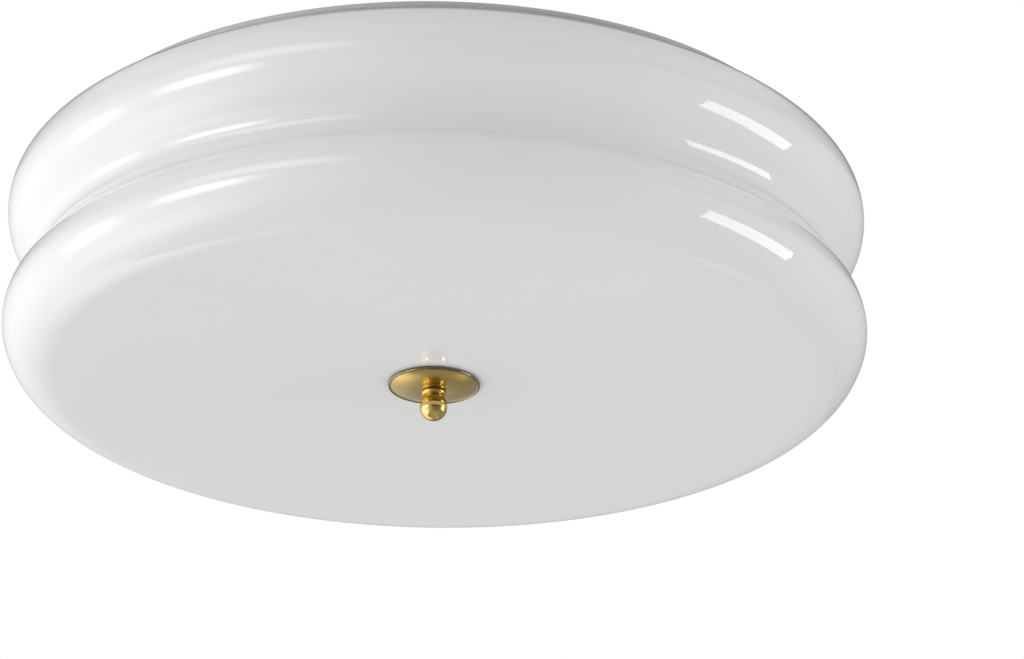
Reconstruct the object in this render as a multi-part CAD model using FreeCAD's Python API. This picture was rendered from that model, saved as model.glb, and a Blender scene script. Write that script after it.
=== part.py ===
import FreeCAD, Part
import math
import os
from FreeCAD import Vector

# A flush ceiling light: a white pressed-steel pan that lies against the ceiling, three
# screw-in lamps that point outwards under it, and a two-ring opal glass shade that one
# centre rod holds up through a brass dish and a brass ball knob.
# Millimetres, +Z up. The origin is the centre of the mounting bar's ceiling face, so
# every piece hangs below z = 0. The first lamp points 30 degrees round from +X.

os.makedirs("parts", exist_ok=True)

# Shade: an opal glass bowl whose wall swells into two rings, one above the other.
upper_ring_radius = 199.2     # widest point of the upper ring
ring_step = 0.8               # lower ring's widest point out beyond the upper's
shade_wall = 3.2
ring_pitch = 56.1             # from one ring's widest point down to the other's
upper_nose_radius = 24.0
upper_shoulder_radius = 53.4
upper_belly_radius = 50.0
lower_nose_radius = 19.0
lower_belly_radius = 24.9
groove_radius = 12.8          # hollow curve between the rings
rim_roll_radius = 12.0        # where the upper shoulder rolls over to the flat rim
shade_rim_width = 37.2        # upper ring's widest point in to the opening's edge
shade_hole_radius = 6.5
upper_shoulder_angle = 50.1   # degrees above level where nose and shoulder meet
rim_roll_angle = 66.2
upper_belly_angle = 38.7      # degrees below level
lower_belly_angle = 15.0

# Pan: a pressed disc with an upturned edge, a flat seat for the glass and a drum inside.
pan_seat_width = 11.6         # drum to the upturned edge
pan_thickness = 1.0
pan_edge_height = 3.3         # ceiling down to the underside of the seat
pan_depth = 16.0              # ceiling down to the underside of the floor
pan_bend_radius = 1.6         # at the middle of the sheet
rim_clearance = 1.0           # drum to the shade's opening
bead_inner_radius = 112.0     # pressed stiffening bead in the floor
bead_width = 12.0
bead_height = 2.0
rim_gasket_thickness = 1.5
rim_gasket_width = 7.0
rim_gasket_margin = 2.0       # drum to the gasket's inner edge

# Mounting bar: a strip joggled down at both ends, slotted for the ceiling screws.
bar_half_length = 96.0
bar_end_length = 22.0         # level end beyond the joggle
bar_joggle_run = 12.0
bar_screw_inset = 10.0        # pan screw's centre in from the bar's end
bar_drop = 9.0
bar_width = 24.0
bar_thickness = 1.5
bar_bend_radius = 2.5
bar_end_round = 6.0
ceiling_screw_spacing = 88.9
ceiling_slot_width = 5.0
ceiling_slot_length = 14.0
pan_screw_radius = 2.0
pan_screw_reach = 5.5         # below the washer, inside the cap nut
screw_head_height_share = 1.2   # of a screw's radius
screw_head_radius_share = 1.9
screw_clearance = 0.2         # a screw in a plain hole, on the radius
cap_nut_flats = 8.0
cap_nut_hex_height = 3.6
cap_nut_dome_radius = 3.6
cap_nut_wall = 0.6            # beyond the screw's end
bar_nut_flats = 7.0
bar_nut_height = 3.2
washer_thickness = 0.8
washer_overhang = 3.0         # beyond the screw, on the radius

# Centre rod: a threaded rod clamped in the pan's floor by a nut and washer on each side.
rod_radius = 3.0
rod_clearance = 0.3
rod_above_nut = 1.4
rod_nut_flats = 10.0
rod_nut_height = 5.0
rod_washer_thickness = 1.4
rod_washer_radius = 6.0
rod_end_chamfer = 0.6
nut_chamfer = 0.5
thread_clearance = 0.05       # between a rod and the thread turned on to it

# Dish, washers and knob under the shade.
bush_bore_clearance = 0.5
bush_wall_clearance = 0.1
bush_flange_radius = 12.0
bush_flange_thickness = 1.5
dish_gasket_radius = 9.0
dish_gasket_thickness = 3.0
dish_radius = 21.3
dish_thickness = 1.0
dish_seat_radius = 7.5        # flat middle that the knob bears on
dish_rim_bead_radius = 0.6
dish_rim_gap = 0.4            # rim to the glass
dish_bead_under_angle = 250.0   # degrees round the bead where the dish's underside meets it
dish_bead_top_angle = 160.0
knob_collar_radius = 5.65
knob_collar_height = 2.2
knob_collar_round = 1.2
knob_neck_radius = 4.3
knob_neck_length = 0.4
knob_ball_radius = 6.35
knob_ball_rise = 3.6          # neck down to the ball's widest point
knob_ball_drop = 8.2          # widest point down to the tip
knob_bore_spare = 1.0         # bore beyond the rod's end
knob_thread_length = 8.5      # rod inside the knob

# Lamps: E27 holders on angle brackets, each with a screw-in lamp.
lamp_angles = (30.0, 150.0, 270.0)
lamp_drop = 60.0              # ceiling down to the lamps' axes
bracket_reach = 22.0          # rod to the upright's inner face
bracket_thickness = 1.5
bracket_width = 30.0
bracket_foot_length = 25.0
bracket_below_axis = 14.0
bracket_bend_radius = 2.0
bracket_corner_round = 4.0
bracket_lead_hole_radius = 4.5
rivet_radius = 1.6
rivet_head_radius = 3.0
rivet_head_height = 1.0
rivet_clearance = 0.05
rivet_from_upright = 15.0
rivet_half_spacing = 9.0
holder_rear_radius = 16.5
holder_rear_length = 11.0
holder_taper_length = 4.0
holder_radius = 20.0
holder_length = 44.0
holder_bore_radius = 14.8
holder_floor_thickness = 15.0
holder_lead_hole_radius = 3.6
holder_mouth_round = 2.0
holder_screw_radius = 1.5
holder_screw_half_spacing = 11.0
holder_screw_bite = 7.0
shell_clearance = 0.3
shell_wall = 0.8
shell_short = 2.0             # shell stops this far inside the holder's mouth
contact_radius = 5.0
contact_thickness = 0.9
contact_dome = 0.8

# Lamp with a plastic housing, opal globe and metal cap, measured from the cap's tip.
cap_clearance = 0.3
cap_tip_gap = 0.3
cap_length = 26.5
cap_tip_radius = 4.8
cap_tip_height = 1.5
cap_cone_length = 4.5
cap_cone_radius = 11.5
mouth_gap = 0.3
housing_neck_radius = 14.6
housing_neck_length = 6.0
housing_length = 34.0
housing_radius = 28.0
housing_lip = 0.6             # the housing's edge stands out past the globe
housing_bow_share = 0.06      # how far the flare bows in, of its length
globe_radius = 30.0
globe_wall = 1.4
globe_seat_height = 1.5
globe_seat_clearance = 0.2

# Leads from each holder through the pan to the terminal block on top of it.
lead_radius = 1.0
lead_half_spacing = 1.45
lead_hole_offset = 13.0       # rod to each hole in the pan
lead_lower_bend = 8.0
lead_upper_bend = 6.0
lead_fan_bend = 20.0
lead_run_height = 5.5         # above the floor, along the top of the pan
lead_straight = 10.0          # in front of the block
lead_end_clearance = 0.3      # short of the holder's floor
grommet_bore_radius = 3.0
grommet_neck_radius = 4.4
grommet_flange_radius = 6.0
grommet_flange_thickness = 1.1
grommet_clearance = 0.1

# Terminal block with three pairs of lamp entries and three supply entries.
block_offset = 72.0           # rod to the block's middle
block_depth = 16.0
block_end_wall = 0.8
block_entry_pitch = 5.5
block_height = 11.0
block_edge_round = 1.0
block_ear_length = 6.0
block_ear_thickness = 3.0
block_ear_depth = 10.0
block_entry_clearance = 0.15
block_entry_depth = 6.0
supply_entry_width = 3.6
supply_entry_height = 3.8
supply_entry_depth = 7.5
supply_well_radius = 2.4
supply_well_depth = 2.6
supply_screw_radius = 2.2
supply_screw_height = 1.6
supply_screw_slot = 0.6
supply_from_face = 4.5        # block's face to its clamp screws
block_screw_radius = 1.5
block_screw_reach = 3.5       # below the pan's floor
earth_screw_x = 40.0
earth_screw_y = -46.0
earth_screw_radius = 2.0
earth_screw_reach = 4.0
earth_lug_radius = 4.5
earth_lug_thickness = 0.8
earth_barrel_length = 8.0
earth_barrel_radius = 1.8
earth_barrel_wall_gap = 0.05
earth_lead_bend = 6.0
earth_lead_dip_bend = 5.0
earth_lead_straight = 3.0     # level with the barrel before it goes in

overrun = 5.0                 # how far cutting tools run past a face
fillet_limit_share = 0.9      # a rounding takes at most this much of its wall


# Geometry helpers

def polar(centre, radius, degrees):
    """The point at a distance and angle from a centre, in the XZ plane."""
    a = math.radians(degrees)
    return Vector(centre.x + radius * math.cos(a), 0, centre.z + radius * math.sin(a))


def arc(centre, radius, start, end):
    """An arc in the XZ plane between two angles in degrees."""
    middle = (start + end) / 2
    return Part.Arc(polar(centre, radius, start), polar(centre, radius, middle),
                    polar(centre, radius, end)).toShape()


def line(a, b):
    return Part.LineSegment(a, b).toShape()


def angle_to(a, b):
    """The angle of point b seen from point a, from 0 to 360 degrees."""
    return math.degrees(math.atan2(b.z - a.z, b.x - a.x)) % 360


def turned(edges, centre=Vector(0, 0, 0), axis=Vector(0, 0, 1)):
    """A closed outline in the XZ plane turned a full turn into a solid."""
    face = Part.Face(Part.Wire(Part.__sortEdges__(edges)))
    return face.revolve(centre, axis, 360)


def polygon(points):
    """Straight edges that close a list of points in the XZ plane."""
    return [line(a, b) for a, b in zip(points, points[1:] + points[:1])]


def cylinder(radius, bottom, top, x=0, y=0):
    return Part.makeCylinder(radius, top - bottom, Vector(x, y, bottom))


def ring(outer, inner, bottom, top, x=0, y=0):
    return cylinder(outer, bottom, top, x, y).cut(cylinder(inner, bottom, top, x, y))


def box(x0, x1, y0, y1, z0, z1):
    return Part.makeBox(x1 - x0, y1 - y0, z1 - z0, Vector(x0, y0, z0))


def hexagon(flats, bottom, top, x=0, y=0):
    """A hexagonal prism with the corners of its ends chamfered."""
    corner = flats / math.sqrt(3)
    points = [Vector(x + corner * math.cos(math.radians(60 * i)),
                     y + corner * math.sin(math.radians(60 * i)), bottom) for i in range(7)]
    prism = Part.Face(Part.makePolygon(points)).extrude(Vector(0, 0, top - bottom))
    bulk = cylinder(corner, bottom, top, x, y)
    ends = [e for e in bulk.Edges if isinstance(e.Curve, Part.Circle)]
    return prism.common(bulk.makeChamfer(nut_chamfer, ends))


def bent_path(points, bends):
    """The runs and bends of a path: each run is its two ends, each bend three points."""
    pieces = []
    start = points[0]
    for before, corner, after, bend in zip(points, points[1:], points[2:], bends):
        u = (before - corner).normalize()
        v = (after - corner).normalize()
        half = math.acos(max(-1.0, min(1.0, u.dot(v)))) / 2
        reach = bend / math.tan(half)
        a = corner + u * reach
        b = corner + v * reach
        centre = corner + (u + v).normalize() * (bend / math.sin(half))
        middle = centre + (corner - centre).normalize() * bend
        pieces += [(start, a), (a, middle, b)]
        start = b
    return pieces + [(start, points[-1])]


def sheet_section(points, bend, thickness):
    """The outline of a bent sheet whose middle follows points in the XZ plane."""
    sides = {1: [], -1: []}
    for piece in bent_path(points, [bend] * (len(points) - 2)):
        if len(piece) == 2:
            a, b = piece
            along = (b - a).normalize()
            normal = Vector(-along.z, 0, along.x)
            for side in sides:
                shift = normal * (side * thickness / 2)
                sides[side].append((a + shift, b + shift))
        else:
            a, middle, b = piece
            centre = Part.Arc(a, middle, b).toShape().Curve.Center
            normal_at_a = (a - centre).normalize()
            along = sides[1][-1][1] - sides[1][-1][0]
            left = Vector(-along.z, 0, along.x).normalize()
            outward = 1 if normal_at_a.dot(left) > 0 else -1
            for side in sides:
                grow = side * outward * thickness / 2
                sides[side].append(tuple(p + (p - centre).normalize() * grow
                                         for p in piece))
    edges = []
    for side in sides.values():
        edges += [line(*p) if len(p) == 2 else Part.Arc(*p).toShape() for p in side]
    for end, point in ((0, 0), (-1, -1)):
        edges.append(line(sides[1][end][point], sides[-1][end][point]))
    return edges


def lead(name, points, bends):
    """A round insulated wire along a bent path, with its length and bends printed."""
    wire = Part.Wire([line(*p) if len(p) == 2 else Part.Arc(*p).toShape()
                      for p in bent_path(points, bends)])
    direction = (points[1] - points[0]).normalize()
    section = Part.Wire(Part.makeCircle(lead_radius, points[0], direction))
    solid = wire.makePipeShell([section], True, False)
    share = solid.Volume / (math.pi * lead_radius ** 2 * wire.Length)
    print(f"{name}: {wire.Length:.1f} mm, bends {bends}, volume over section x length {share:.4f}")
    return solid


def at_lamp(shape, angle):
    """A shape modelled with its lamp along +X, turned to that lamp's angle."""
    placed = shape.copy()
    placed.rotate(Vector(0, 0, 0), Vector(0, 0, 1), angle)
    return placed


def turned_on_lamp(edges):
    """An outline turned round the lamp's axis, which runs along +X."""
    return turned(edges, Vector(0, 0, lamp_z), Vector(1, 0, 0))


def lamp_point(along, radius):
    return Vector(along, 0, lamp_z + radius)


def save(name, shape):
    shapes = shape if isinstance(shape, list) else [shape]
    solids = [s for item in shapes for s in item.Solids]
    for solid in solids:
        if not solid.isValid() or solid.Volume <= 0:
            raise ValueError(name + " is not a valid solid")
    whole = solids[0] if len(solids) == 1 else Part.makeCompound(solids)
    whole.exportStep(os.path.join("parts", name + ".step"))


# Levels and centres that several pieces share

seat_z = -pan_edge_height
floor_under_z = -pan_depth
floor_top_z = floor_under_z + pan_thickness
shade_opening_radius = upper_ring_radius - shade_rim_width
drum_radius = shade_opening_radius - rim_clearance
pan_radius = drum_radius + pan_seat_width
rim_z = seat_z - rim_gasket_thickness
bar_joggle_end = bar_half_length - bar_end_length
bar_joggle_start = bar_joggle_end - bar_joggle_run
pan_screw_offset = bar_half_length - bar_screw_inset
lamp_z = -lamp_drop

shoulder_step = upper_shoulder_radius - upper_nose_radius
roll_step = upper_shoulder_radius - rim_roll_radius
rim_above_nose = (rim_roll_radius
                  + roll_step * math.sin(math.radians(rim_roll_angle))
                  - shoulder_step * math.sin(math.radians(upper_shoulder_angle)))
upper_nose = Vector(upper_ring_radius - upper_nose_radius, 0, rim_z - rim_above_nose)
upper_shoulder = polar(upper_nose, -shoulder_step, upper_shoulder_angle)
rim_roll = polar(upper_shoulder, roll_step, rim_roll_angle)
upper_belly = polar(upper_nose, upper_nose_radius - upper_belly_radius, -upper_belly_angle)
shade_radius = upper_ring_radius + ring_step
lower_nose = Vector(shade_radius - lower_nose_radius, 0, upper_nose.z - ring_pitch)
lower_belly = polar(lower_nose, lower_nose_radius - lower_belly_radius, -lower_belly_angle)
shade_bottom_z = lower_belly.z - lower_belly_radius


def groove_centre():
    """The centre of the groove's curve, which touches the upper belly and the lower nose."""
    a = upper_belly_radius + groove_radius
    b = lower_nose_radius + groove_radius
    between = lower_nose - upper_belly
    d = between.Length
    along = (a * a - b * b + d * d) / (2 * d)
    across = math.sqrt(a * a - along * along)
    unit = between.normalize()
    outward = Vector(-unit.z, 0, unit.x)
    return upper_belly + unit * along + outward * across


groove = groove_centre()


# Shade

def shade_side(depth):
    """One side of the shade's wall, rim to hole, at a depth under the outer surface."""
    to_belly = angle_to(upper_belly, groove) - 360
    to_nose = angle_to(lower_nose, groove)
    from_belly = angle_to(groove, upper_belly)
    from_nose = angle_to(groove, lower_nose)
    rim_level = rim_z - depth
    bottom_level = shade_bottom_z + depth
    return [
        line(Vector(shade_opening_radius, 0, rim_level), Vector(rim_roll.x, 0, rim_level)),
        arc(rim_roll, rim_roll_radius - depth, 90, rim_roll_angle),
        arc(upper_shoulder, upper_shoulder_radius - depth, rim_roll_angle,
            upper_shoulder_angle),
        arc(upper_nose, upper_nose_radius - depth, upper_shoulder_angle, -upper_belly_angle),
        arc(upper_belly, upper_belly_radius - depth, -upper_belly_angle, to_belly),
        arc(groove, groove_radius + depth, from_belly, from_nose),
        arc(lower_nose, lower_nose_radius - depth, to_nose, -lower_belly_angle),
        arc(lower_belly, lower_belly_radius - depth, -lower_belly_angle, -90),
        line(Vector(lower_belly.x, 0, bottom_level),
             Vector(shade_hole_radius, 0, bottom_level)),
    ]


def make_shade():
    ends = [
        line(Vector(shade_opening_radius, 0, rim_z),
             Vector(shade_opening_radius, 0, rim_z - shade_wall)),
        line(Vector(shade_hole_radius, 0, shade_bottom_z),
             Vector(shade_hole_radius, 0, shade_bottom_z + shade_wall)),
    ]
    return turned(shade_side(0) + shade_side(shade_wall) + ends)


def make_shade_bush():
    """Soft flanged bush that keeps the rod off the glass."""
    top = shade_bottom_z + shade_wall
    body = cylinder(shade_hole_radius - bush_wall_clearance, shade_bottom_z, top)
    flange = cylinder(bush_flange_radius, top, top + bush_flange_thickness)
    bore = cylinder(rod_radius + bush_bore_clearance, shade_bottom_z - overrun,
                    top + bush_flange_thickness + overrun)
    return body.fuse(flange).cut(bore).removeSplitter()


# Pan, gasket and mounting bar

def make_pan():
    half = pan_thickness / 2
    floor = floor_top_z - half
    bead = floor + bead_height
    slope = bead_height
    middle = [
        Vector(pan_radius - half, 0, 0),
        Vector(pan_radius - half, 0, seat_z + half),
        Vector(drum_radius - half, 0, seat_z + half),
        Vector(drum_radius - half, 0, floor),
        Vector(bead_inner_radius + bead_width, 0, floor),
        Vector(bead_inner_radius + bead_width - slope, 0, bead),
        Vector(bead_inner_radius + slope, 0, bead),
        Vector(bead_inner_radius, 0, floor),
        Vector(rod_radius + rod_clearance, 0, floor),
    ]
    pan = turned(sheet_section(middle, pan_bend_radius, pan_thickness))
    low, high = floor_under_z - overrun, floor_top_z + overrun
    holes = [cylinder(pan_screw_radius + screw_clearance, low, high, side * pan_screw_offset)
             for side in (-1, 1)]
    holes += [cylinder(grommet_neck_radius + grommet_clearance, low, high, *lead_hole(a))
              for a in lamp_angles]
    holes += [cylinder(block_screw_radius + screw_clearance, low, high, x, -block_offset)
              for x in block_screw_places()]
    holes.append(cylinder(earth_screw_radius + screw_clearance, low, high,
                          earth_screw_x, earth_screw_y))
    for angle in lamp_angles:
        holes += [at_lamp(cylinder(rivet_radius + rivet_clearance, low, high, x, y), angle)
                  for x, y in rivet_places()]
    return pan.cut(Part.makeCompound(holes))


def make_rim_gasket():
    inner = drum_radius + rim_gasket_margin
    return ring(inner + rim_gasket_width, inner, rim_z, seat_z)


def make_mounting_bar():
    half = bar_thickness / 2
    low = -bar_drop - half
    middle = [Vector(-bar_half_length, 0, low), Vector(-bar_joggle_end, 0, low),
              Vector(-bar_joggle_start, 0, -half), Vector(bar_joggle_start, 0, -half),
              Vector(bar_joggle_end, 0, low), Vector(bar_half_length, 0, low)]
    face = Part.Face(Part.Wire(Part.__sortEdges__(
        sheet_section(middle, bar_bend_radius, bar_thickness))))
    bar = face.extrude(Vector(0, bar_width, 0))
    bar.translate(Vector(0, -bar_width / 2, 0))
    corners = [e for e in bar.Edges
               if e.Length < bar_thickness * 1.01
               and abs(abs(e.CenterOfMass.x) - bar_half_length) < half
               and abs(e.tangentAt(e.FirstParameter).z) > 0.9]
    bar = bar.makeFillet(bar_end_round, corners)
    low_cut, high_cut = low - overrun, overrun
    cuts = [cylinder(pan_screw_radius + screw_clearance, low_cut, high_cut,
                     side * pan_screw_offset) for side in (-1, 1)]
    slot_radius = ceiling_slot_width / 2
    slot_run = ceiling_slot_length / 2 - slot_radius
    for side in (-1, 1):
        x = side * ceiling_screw_spacing / 2
        cuts += [cylinder(slot_radius, low_cut, high_cut, x + end * slot_run)
                 for end in (-1, 1)]
        cuts.append(box(x - slot_run, x + slot_run, -slot_radius, slot_radius,
                        low_cut, high_cut))
    for tool in cuts:
        bar = bar.cut(tool)
    return bar


def pan_head_screw(radius, head_under, end, x=0, y=0):
    """A round-headed screw, head up, its shank running down to end."""
    head_radius = radius * screw_head_radius_share
    head = cylinder(head_radius, head_under, head_under + radius * screw_head_height_share,
                    x, y)
    top = max(head.Edges, key=lambda e: e.CenterOfMass.z)
    head = head.makeFillet(radius / 2, [top])
    return head.fuse(cylinder(radius, end, head_under, x, y)).removeSplitter()


def make_pan_screws():
    end = floor_under_z - washer_thickness - pan_screw_reach
    return [pan_head_screw(pan_screw_radius, -bar_drop, end, side * pan_screw_offset)
            for side in (-1, 1)]


def make_pan_washers():
    return [ring(pan_screw_radius + washer_overhang, pan_screw_radius + screw_clearance,
                 floor_under_z - washer_thickness, floor_under_z, side * pan_screw_offset)
            for side in (-1, 1)]


def make_cap_nuts():
    """Domed nuts that draw the pan up to the ceiling."""
    top = floor_under_z - washer_thickness
    hex_end = top - cap_nut_hex_height
    nuts = []
    for side in (-1, 1):
        x = side * pan_screw_offset
        base = hexagon(cap_nut_flats, hex_end, top, x)
        bore_end = top - pan_screw_reach - cap_nut_wall
        dome = Part.makeSphere(cap_nut_dome_radius, Vector(x, 0, hex_end))
        bore = cylinder(pan_screw_radius + thread_clearance, bore_end, top, x)
        nuts.append(base.fuse(dome).cut(bore))
    return nuts


def make_bar_nuts():
    """Nuts that lock the pan screws upright in the bar."""
    top = -bar_drop - bar_thickness
    nuts = []
    for side in (-1, 1):
        x = side * pan_screw_offset
        hole = cylinder(pan_screw_radius + thread_clearance, top - bar_nut_height, top, x)
        nuts.append(hexagon(bar_nut_flats, top - bar_nut_height, top, x).cut(hole))
    return nuts


# Centre rod

rod_nut_top_z = floor_top_z + rod_washer_thickness + rod_nut_height
dish_top_z = shade_bottom_z - dish_gasket_thickness
dish_under_z = dish_top_z - dish_thickness
rod_end_z = dish_under_z - knob_thread_length


def make_centre_rod():
    rod = cylinder(rod_radius, rod_end_z, rod_nut_top_z + rod_above_nut)
    ends = [e for e in rod.Edges if isinstance(e.Curve, Part.Circle)]
    return rod.makeChamfer(rod_end_chamfer, ends)


def make_rod_nuts():
    above = floor_top_z + rod_washer_thickness
    below = floor_under_z - rod_washer_thickness
    hole = cylinder(rod_radius + thread_clearance, below - rod_nut_height, rod_nut_top_z)
    return [hexagon(rod_nut_flats, above, rod_nut_top_z).cut(hole),
            hexagon(rod_nut_flats, below - rod_nut_height, below).cut(hole)]


def make_rod_washers():
    inner = rod_radius + rod_clearance
    return [ring(rod_washer_radius, inner, floor_top_z, floor_top_z + rod_washer_thickness),
            ring(rod_washer_radius, inner, floor_under_z - rod_washer_thickness,
                 floor_under_z)]


# Dish, its gasket and the knob

def make_dish_gasket():
    return ring(dish_gasket_radius, rod_radius + bush_bore_clearance, dish_top_z,
                shade_bottom_z)


def make_dish():
    """A shallow spun dish with a flat middle and a rolled rim."""
    bead = Vector(dish_radius - dish_rim_bead_radius, 0,
                  shade_bottom_z - dish_rim_gap - dish_rim_bead_radius)
    hole = rod_radius + rod_clearance
    under_seat = Vector(dish_seat_radius, 0, dish_under_z)
    top_seat = Vector(dish_gasket_radius, 0, dish_top_z)
    under_bead = polar(bead, dish_rim_bead_radius, dish_bead_under_angle)
    over_bead = polar(bead, dish_rim_bead_radius, dish_bead_top_angle)

    def dome(a, b):
        """A curve that leaves the flat seat level and rises to the bead."""
        half_chord = (b - a).Length / 2
        rise = math.atan2(b.z - a.z, b.x - a.x)
        radius = half_chord / math.sin(rise)
        centre = Vector(a.x, 0, a.z + radius)
        middle = polar(centre, radius, math.degrees(rise) - 90)
        return Part.Arc(a, middle, b).toShape()

    edges = [
        line(Vector(hole, 0, dish_under_z), under_seat),
        dome(under_seat, under_bead),
        arc(bead, dish_rim_bead_radius, dish_bead_under_angle, dish_bead_top_angle + 360),
        dome(top_seat, over_bead),
        line(top_seat, Vector(hole, 0, dish_top_z)),
        line(Vector(hole, 0, dish_top_z), Vector(hole, 0, dish_under_z)),
    ]
    return turned(edges)


def quarter(centre, out_radius, height, cut_radius=0):
    """Part of an ellipse in the XZ plane, from its widest point towards its tip."""
    if abs(height) > out_radius:
        ellipse = Part.Ellipse(Vector(centre.x, 0, centre.z + height),
                               Vector(centre.x + out_radius, 0, centre.z), centre)
        span = (math.asin(cut_radius / out_radius), math.pi / 2)
    else:
        ellipse = Part.Ellipse(Vector(centre.x + out_radius, 0, centre.z),
                               Vector(centre.x, 0, centre.z + height), centre)
        span = (0, math.acos(cut_radius / out_radius))
    return Part.ArcOfEllipse(ellipse, *span).toShape()


def make_knob():
    """A turned bud under a rounded collar, bored and threaded from the top."""
    collar_end = dish_under_z - knob_collar_height
    neck_end = collar_end - knob_neck_length
    ball_centre = Vector(0, 0, neck_end - knob_ball_rise)
    tip_z = ball_centre.z - knob_ball_drop
    upper_height = knob_ball_rise / math.sqrt(1 - (knob_neck_radius / knob_ball_radius) ** 2)
    bore = rod_radius + thread_clearance
    bore_end = rod_end_z - knob_bore_spare
    ledge = knob_collar_radius - knob_neck_radius
    rounding = min(knob_collar_round, ledge * fillet_limit_share,
                   knob_collar_height / 2 * fillet_limit_share)
    side = knob_collar_radius - rounding
    high_round = Vector(side, 0, dish_under_z - rounding)
    low_round = Vector(side, 0, collar_end + rounding)
    edges = [
        line(Vector(bore, 0, dish_under_z), Vector(side, 0, dish_under_z)),
        arc(high_round, rounding, 90, 0),
        line(polar(high_round, rounding, 0), polar(low_round, rounding, 0)),
        arc(low_round, rounding, 0, -90),
        line(Vector(side, 0, collar_end), Vector(knob_neck_radius, 0, collar_end)),
        line(Vector(knob_neck_radius, 0, collar_end), Vector(knob_neck_radius, 0, neck_end)),
        quarter(ball_centre, knob_ball_radius, upper_height, knob_neck_radius),
        quarter(ball_centre, knob_ball_radius, -knob_ball_drop),
        line(Vector(0, 0, tip_z), Vector(0, 0, bore_end)),
        line(Vector(0, 0, bore_end), Vector(bore, 0, bore_end)),
        line(Vector(bore, 0, bore_end), Vector(bore, 0, dish_under_z)),
    ]
    return turned(edges)


# Lamp holders and their brackets, modelled along +X

upright_outer = bracket_reach + bracket_thickness
holder_mouth = upright_outer + holder_length
holder_floor = upright_outer + holder_floor_thickness
shell_inner_radius = holder_bore_radius - shell_clearance - shell_wall
cap_tip = holder_floor + contact_thickness + contact_dome + cap_tip_gap
cap_end = cap_tip + cap_length


def rivet_places():
    return [(upright_outer + rivet_from_upright, side * rivet_half_spacing)
            for side in (-1, 1)]


def make_bracket():
    """An angle bracket: foot under the pan, upright behind the holder."""
    half = bracket_thickness / 2
    middle = [Vector(bracket_reach + half + bracket_foot_length, 0, floor_under_z - half),
              Vector(bracket_reach + half, 0, floor_under_z - half),
              Vector(bracket_reach + half, 0, lamp_z - bracket_below_axis)]
    section = Part.Face(Part.Wire(Part.__sortEdges__(
        sheet_section(middle, bracket_bend_radius, bracket_thickness))))
    bracket = section.extrude(Vector(0, bracket_width, 0))
    bracket.translate(Vector(0, -bracket_width / 2, 0))
    corners = [e for e in bracket.Edges
               if e.Length < bracket_thickness * 1.01
               and abs(abs(e.CenterOfMass.y) - bracket_width / 2) < half
               and abs(e.tangentAt(e.FirstParameter).y) < 0.1]
    bracket = bracket.makeFillet(bracket_corner_round, corners)
    along_x = Vector(1, 0, 0)
    start = bracket_reach - overrun
    length = bracket_thickness + 2 * overrun
    cuts = [Part.makeCylinder(bracket_lead_hole_radius, length,
                              Vector(start, 0, lamp_z), along_x)]
    cuts += [Part.makeCylinder(holder_screw_radius + screw_clearance, length,
                               Vector(start, side * holder_screw_half_spacing, lamp_z),
                               along_x) for side in (-1, 1)]
    cuts += [cylinder(rivet_radius + rivet_clearance, floor_under_z - overrun,
                      floor_under_z + overrun, x, y) for x, y in rivet_places()]
    return bracket.cut(Part.makeCompound(cuts))


def make_rivets(angle):
    """Two rivets through the pan's floor and the bracket's foot."""
    foot_under = floor_under_z - bracket_thickness
    rivets = []
    for x, y in rivet_places():
        shank = cylinder(rivet_radius, foot_under, floor_top_z, x, y)
        low = cylinder(rivet_head_radius, foot_under - rivet_head_height, foot_under, x, y)
        high = cylinder(rivet_head_radius, floor_top_z, floor_top_z + rivet_head_height, x, y)
        low = low.makeFillet(rivet_head_height / 2, [min(low.Edges, key=edge_height)])
        high = high.makeFillet(rivet_head_height / 2, [max(high.Edges, key=edge_height)])
        rivets.append(at_lamp(shank.fuse([low, high]).removeSplitter(), angle))
    return rivets


def edge_height(edge):
    return edge.CenterOfMass.z


def make_holder():
    """A porcelain holder: narrow rear, wider front, deep bore for the screw shell."""
    front_start = upright_outer + holder_rear_length + holder_taper_length
    round_centre = Vector(holder_mouth - holder_mouth_round, 0,
                          lamp_z + holder_radius - holder_mouth_round)
    edges = [
        line(lamp_point(upright_outer, holder_lead_hole_radius),
             lamp_point(upright_outer, holder_rear_radius)),
        line(lamp_point(upright_outer, holder_rear_radius),
             lamp_point(upright_outer + holder_rear_length, holder_rear_radius)),
        line(lamp_point(upright_outer + holder_rear_length, holder_rear_radius),
             lamp_point(front_start, holder_radius)),
        line(lamp_point(front_start, holder_radius),
             lamp_point(holder_mouth - holder_mouth_round, holder_radius)),
        arc(round_centre, holder_mouth_round, 90, 0),
        line(lamp_point(holder_mouth, holder_radius - holder_mouth_round),
             lamp_point(holder_mouth, holder_bore_radius)),
        line(lamp_point(holder_mouth, holder_bore_radius),
             lamp_point(holder_floor, holder_bore_radius)),
        line(lamp_point(holder_floor, holder_bore_radius),
             lamp_point(holder_floor, holder_lead_hole_radius)),
        line(lamp_point(holder_floor, holder_lead_hole_radius),
             lamp_point(upright_outer, holder_lead_hole_radius)),
    ]
    holder = turned_on_lamp(edges)
    screw_holes = [Part.makeCylinder(holder_screw_radius + thread_clearance,
                                     holder_screw_bite + thread_clearance,
                                     Vector(upright_outer, side * holder_screw_half_spacing,
                                            lamp_z), Vector(1, 0, 0))
                   for side in (-1, 1)]
    return holder.cut(Part.makeCompound(screw_holes))


def make_holder_screws(angle):
    """Two screws that hold the holder to its upright, heads towards the rod."""
    screws = []
    for side in (-1, 1):
        screw = pan_head_screw(holder_screw_radius, 0, -bracket_thickness - holder_screw_bite)
        screw.rotate(Vector(0, 0, 0), Vector(0, 1, 0), -90)
        screw.translate(Vector(bracket_reach, side * holder_screw_half_spacing, lamp_z))
        screws.append(at_lamp(screw, angle))
    return screws


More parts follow.
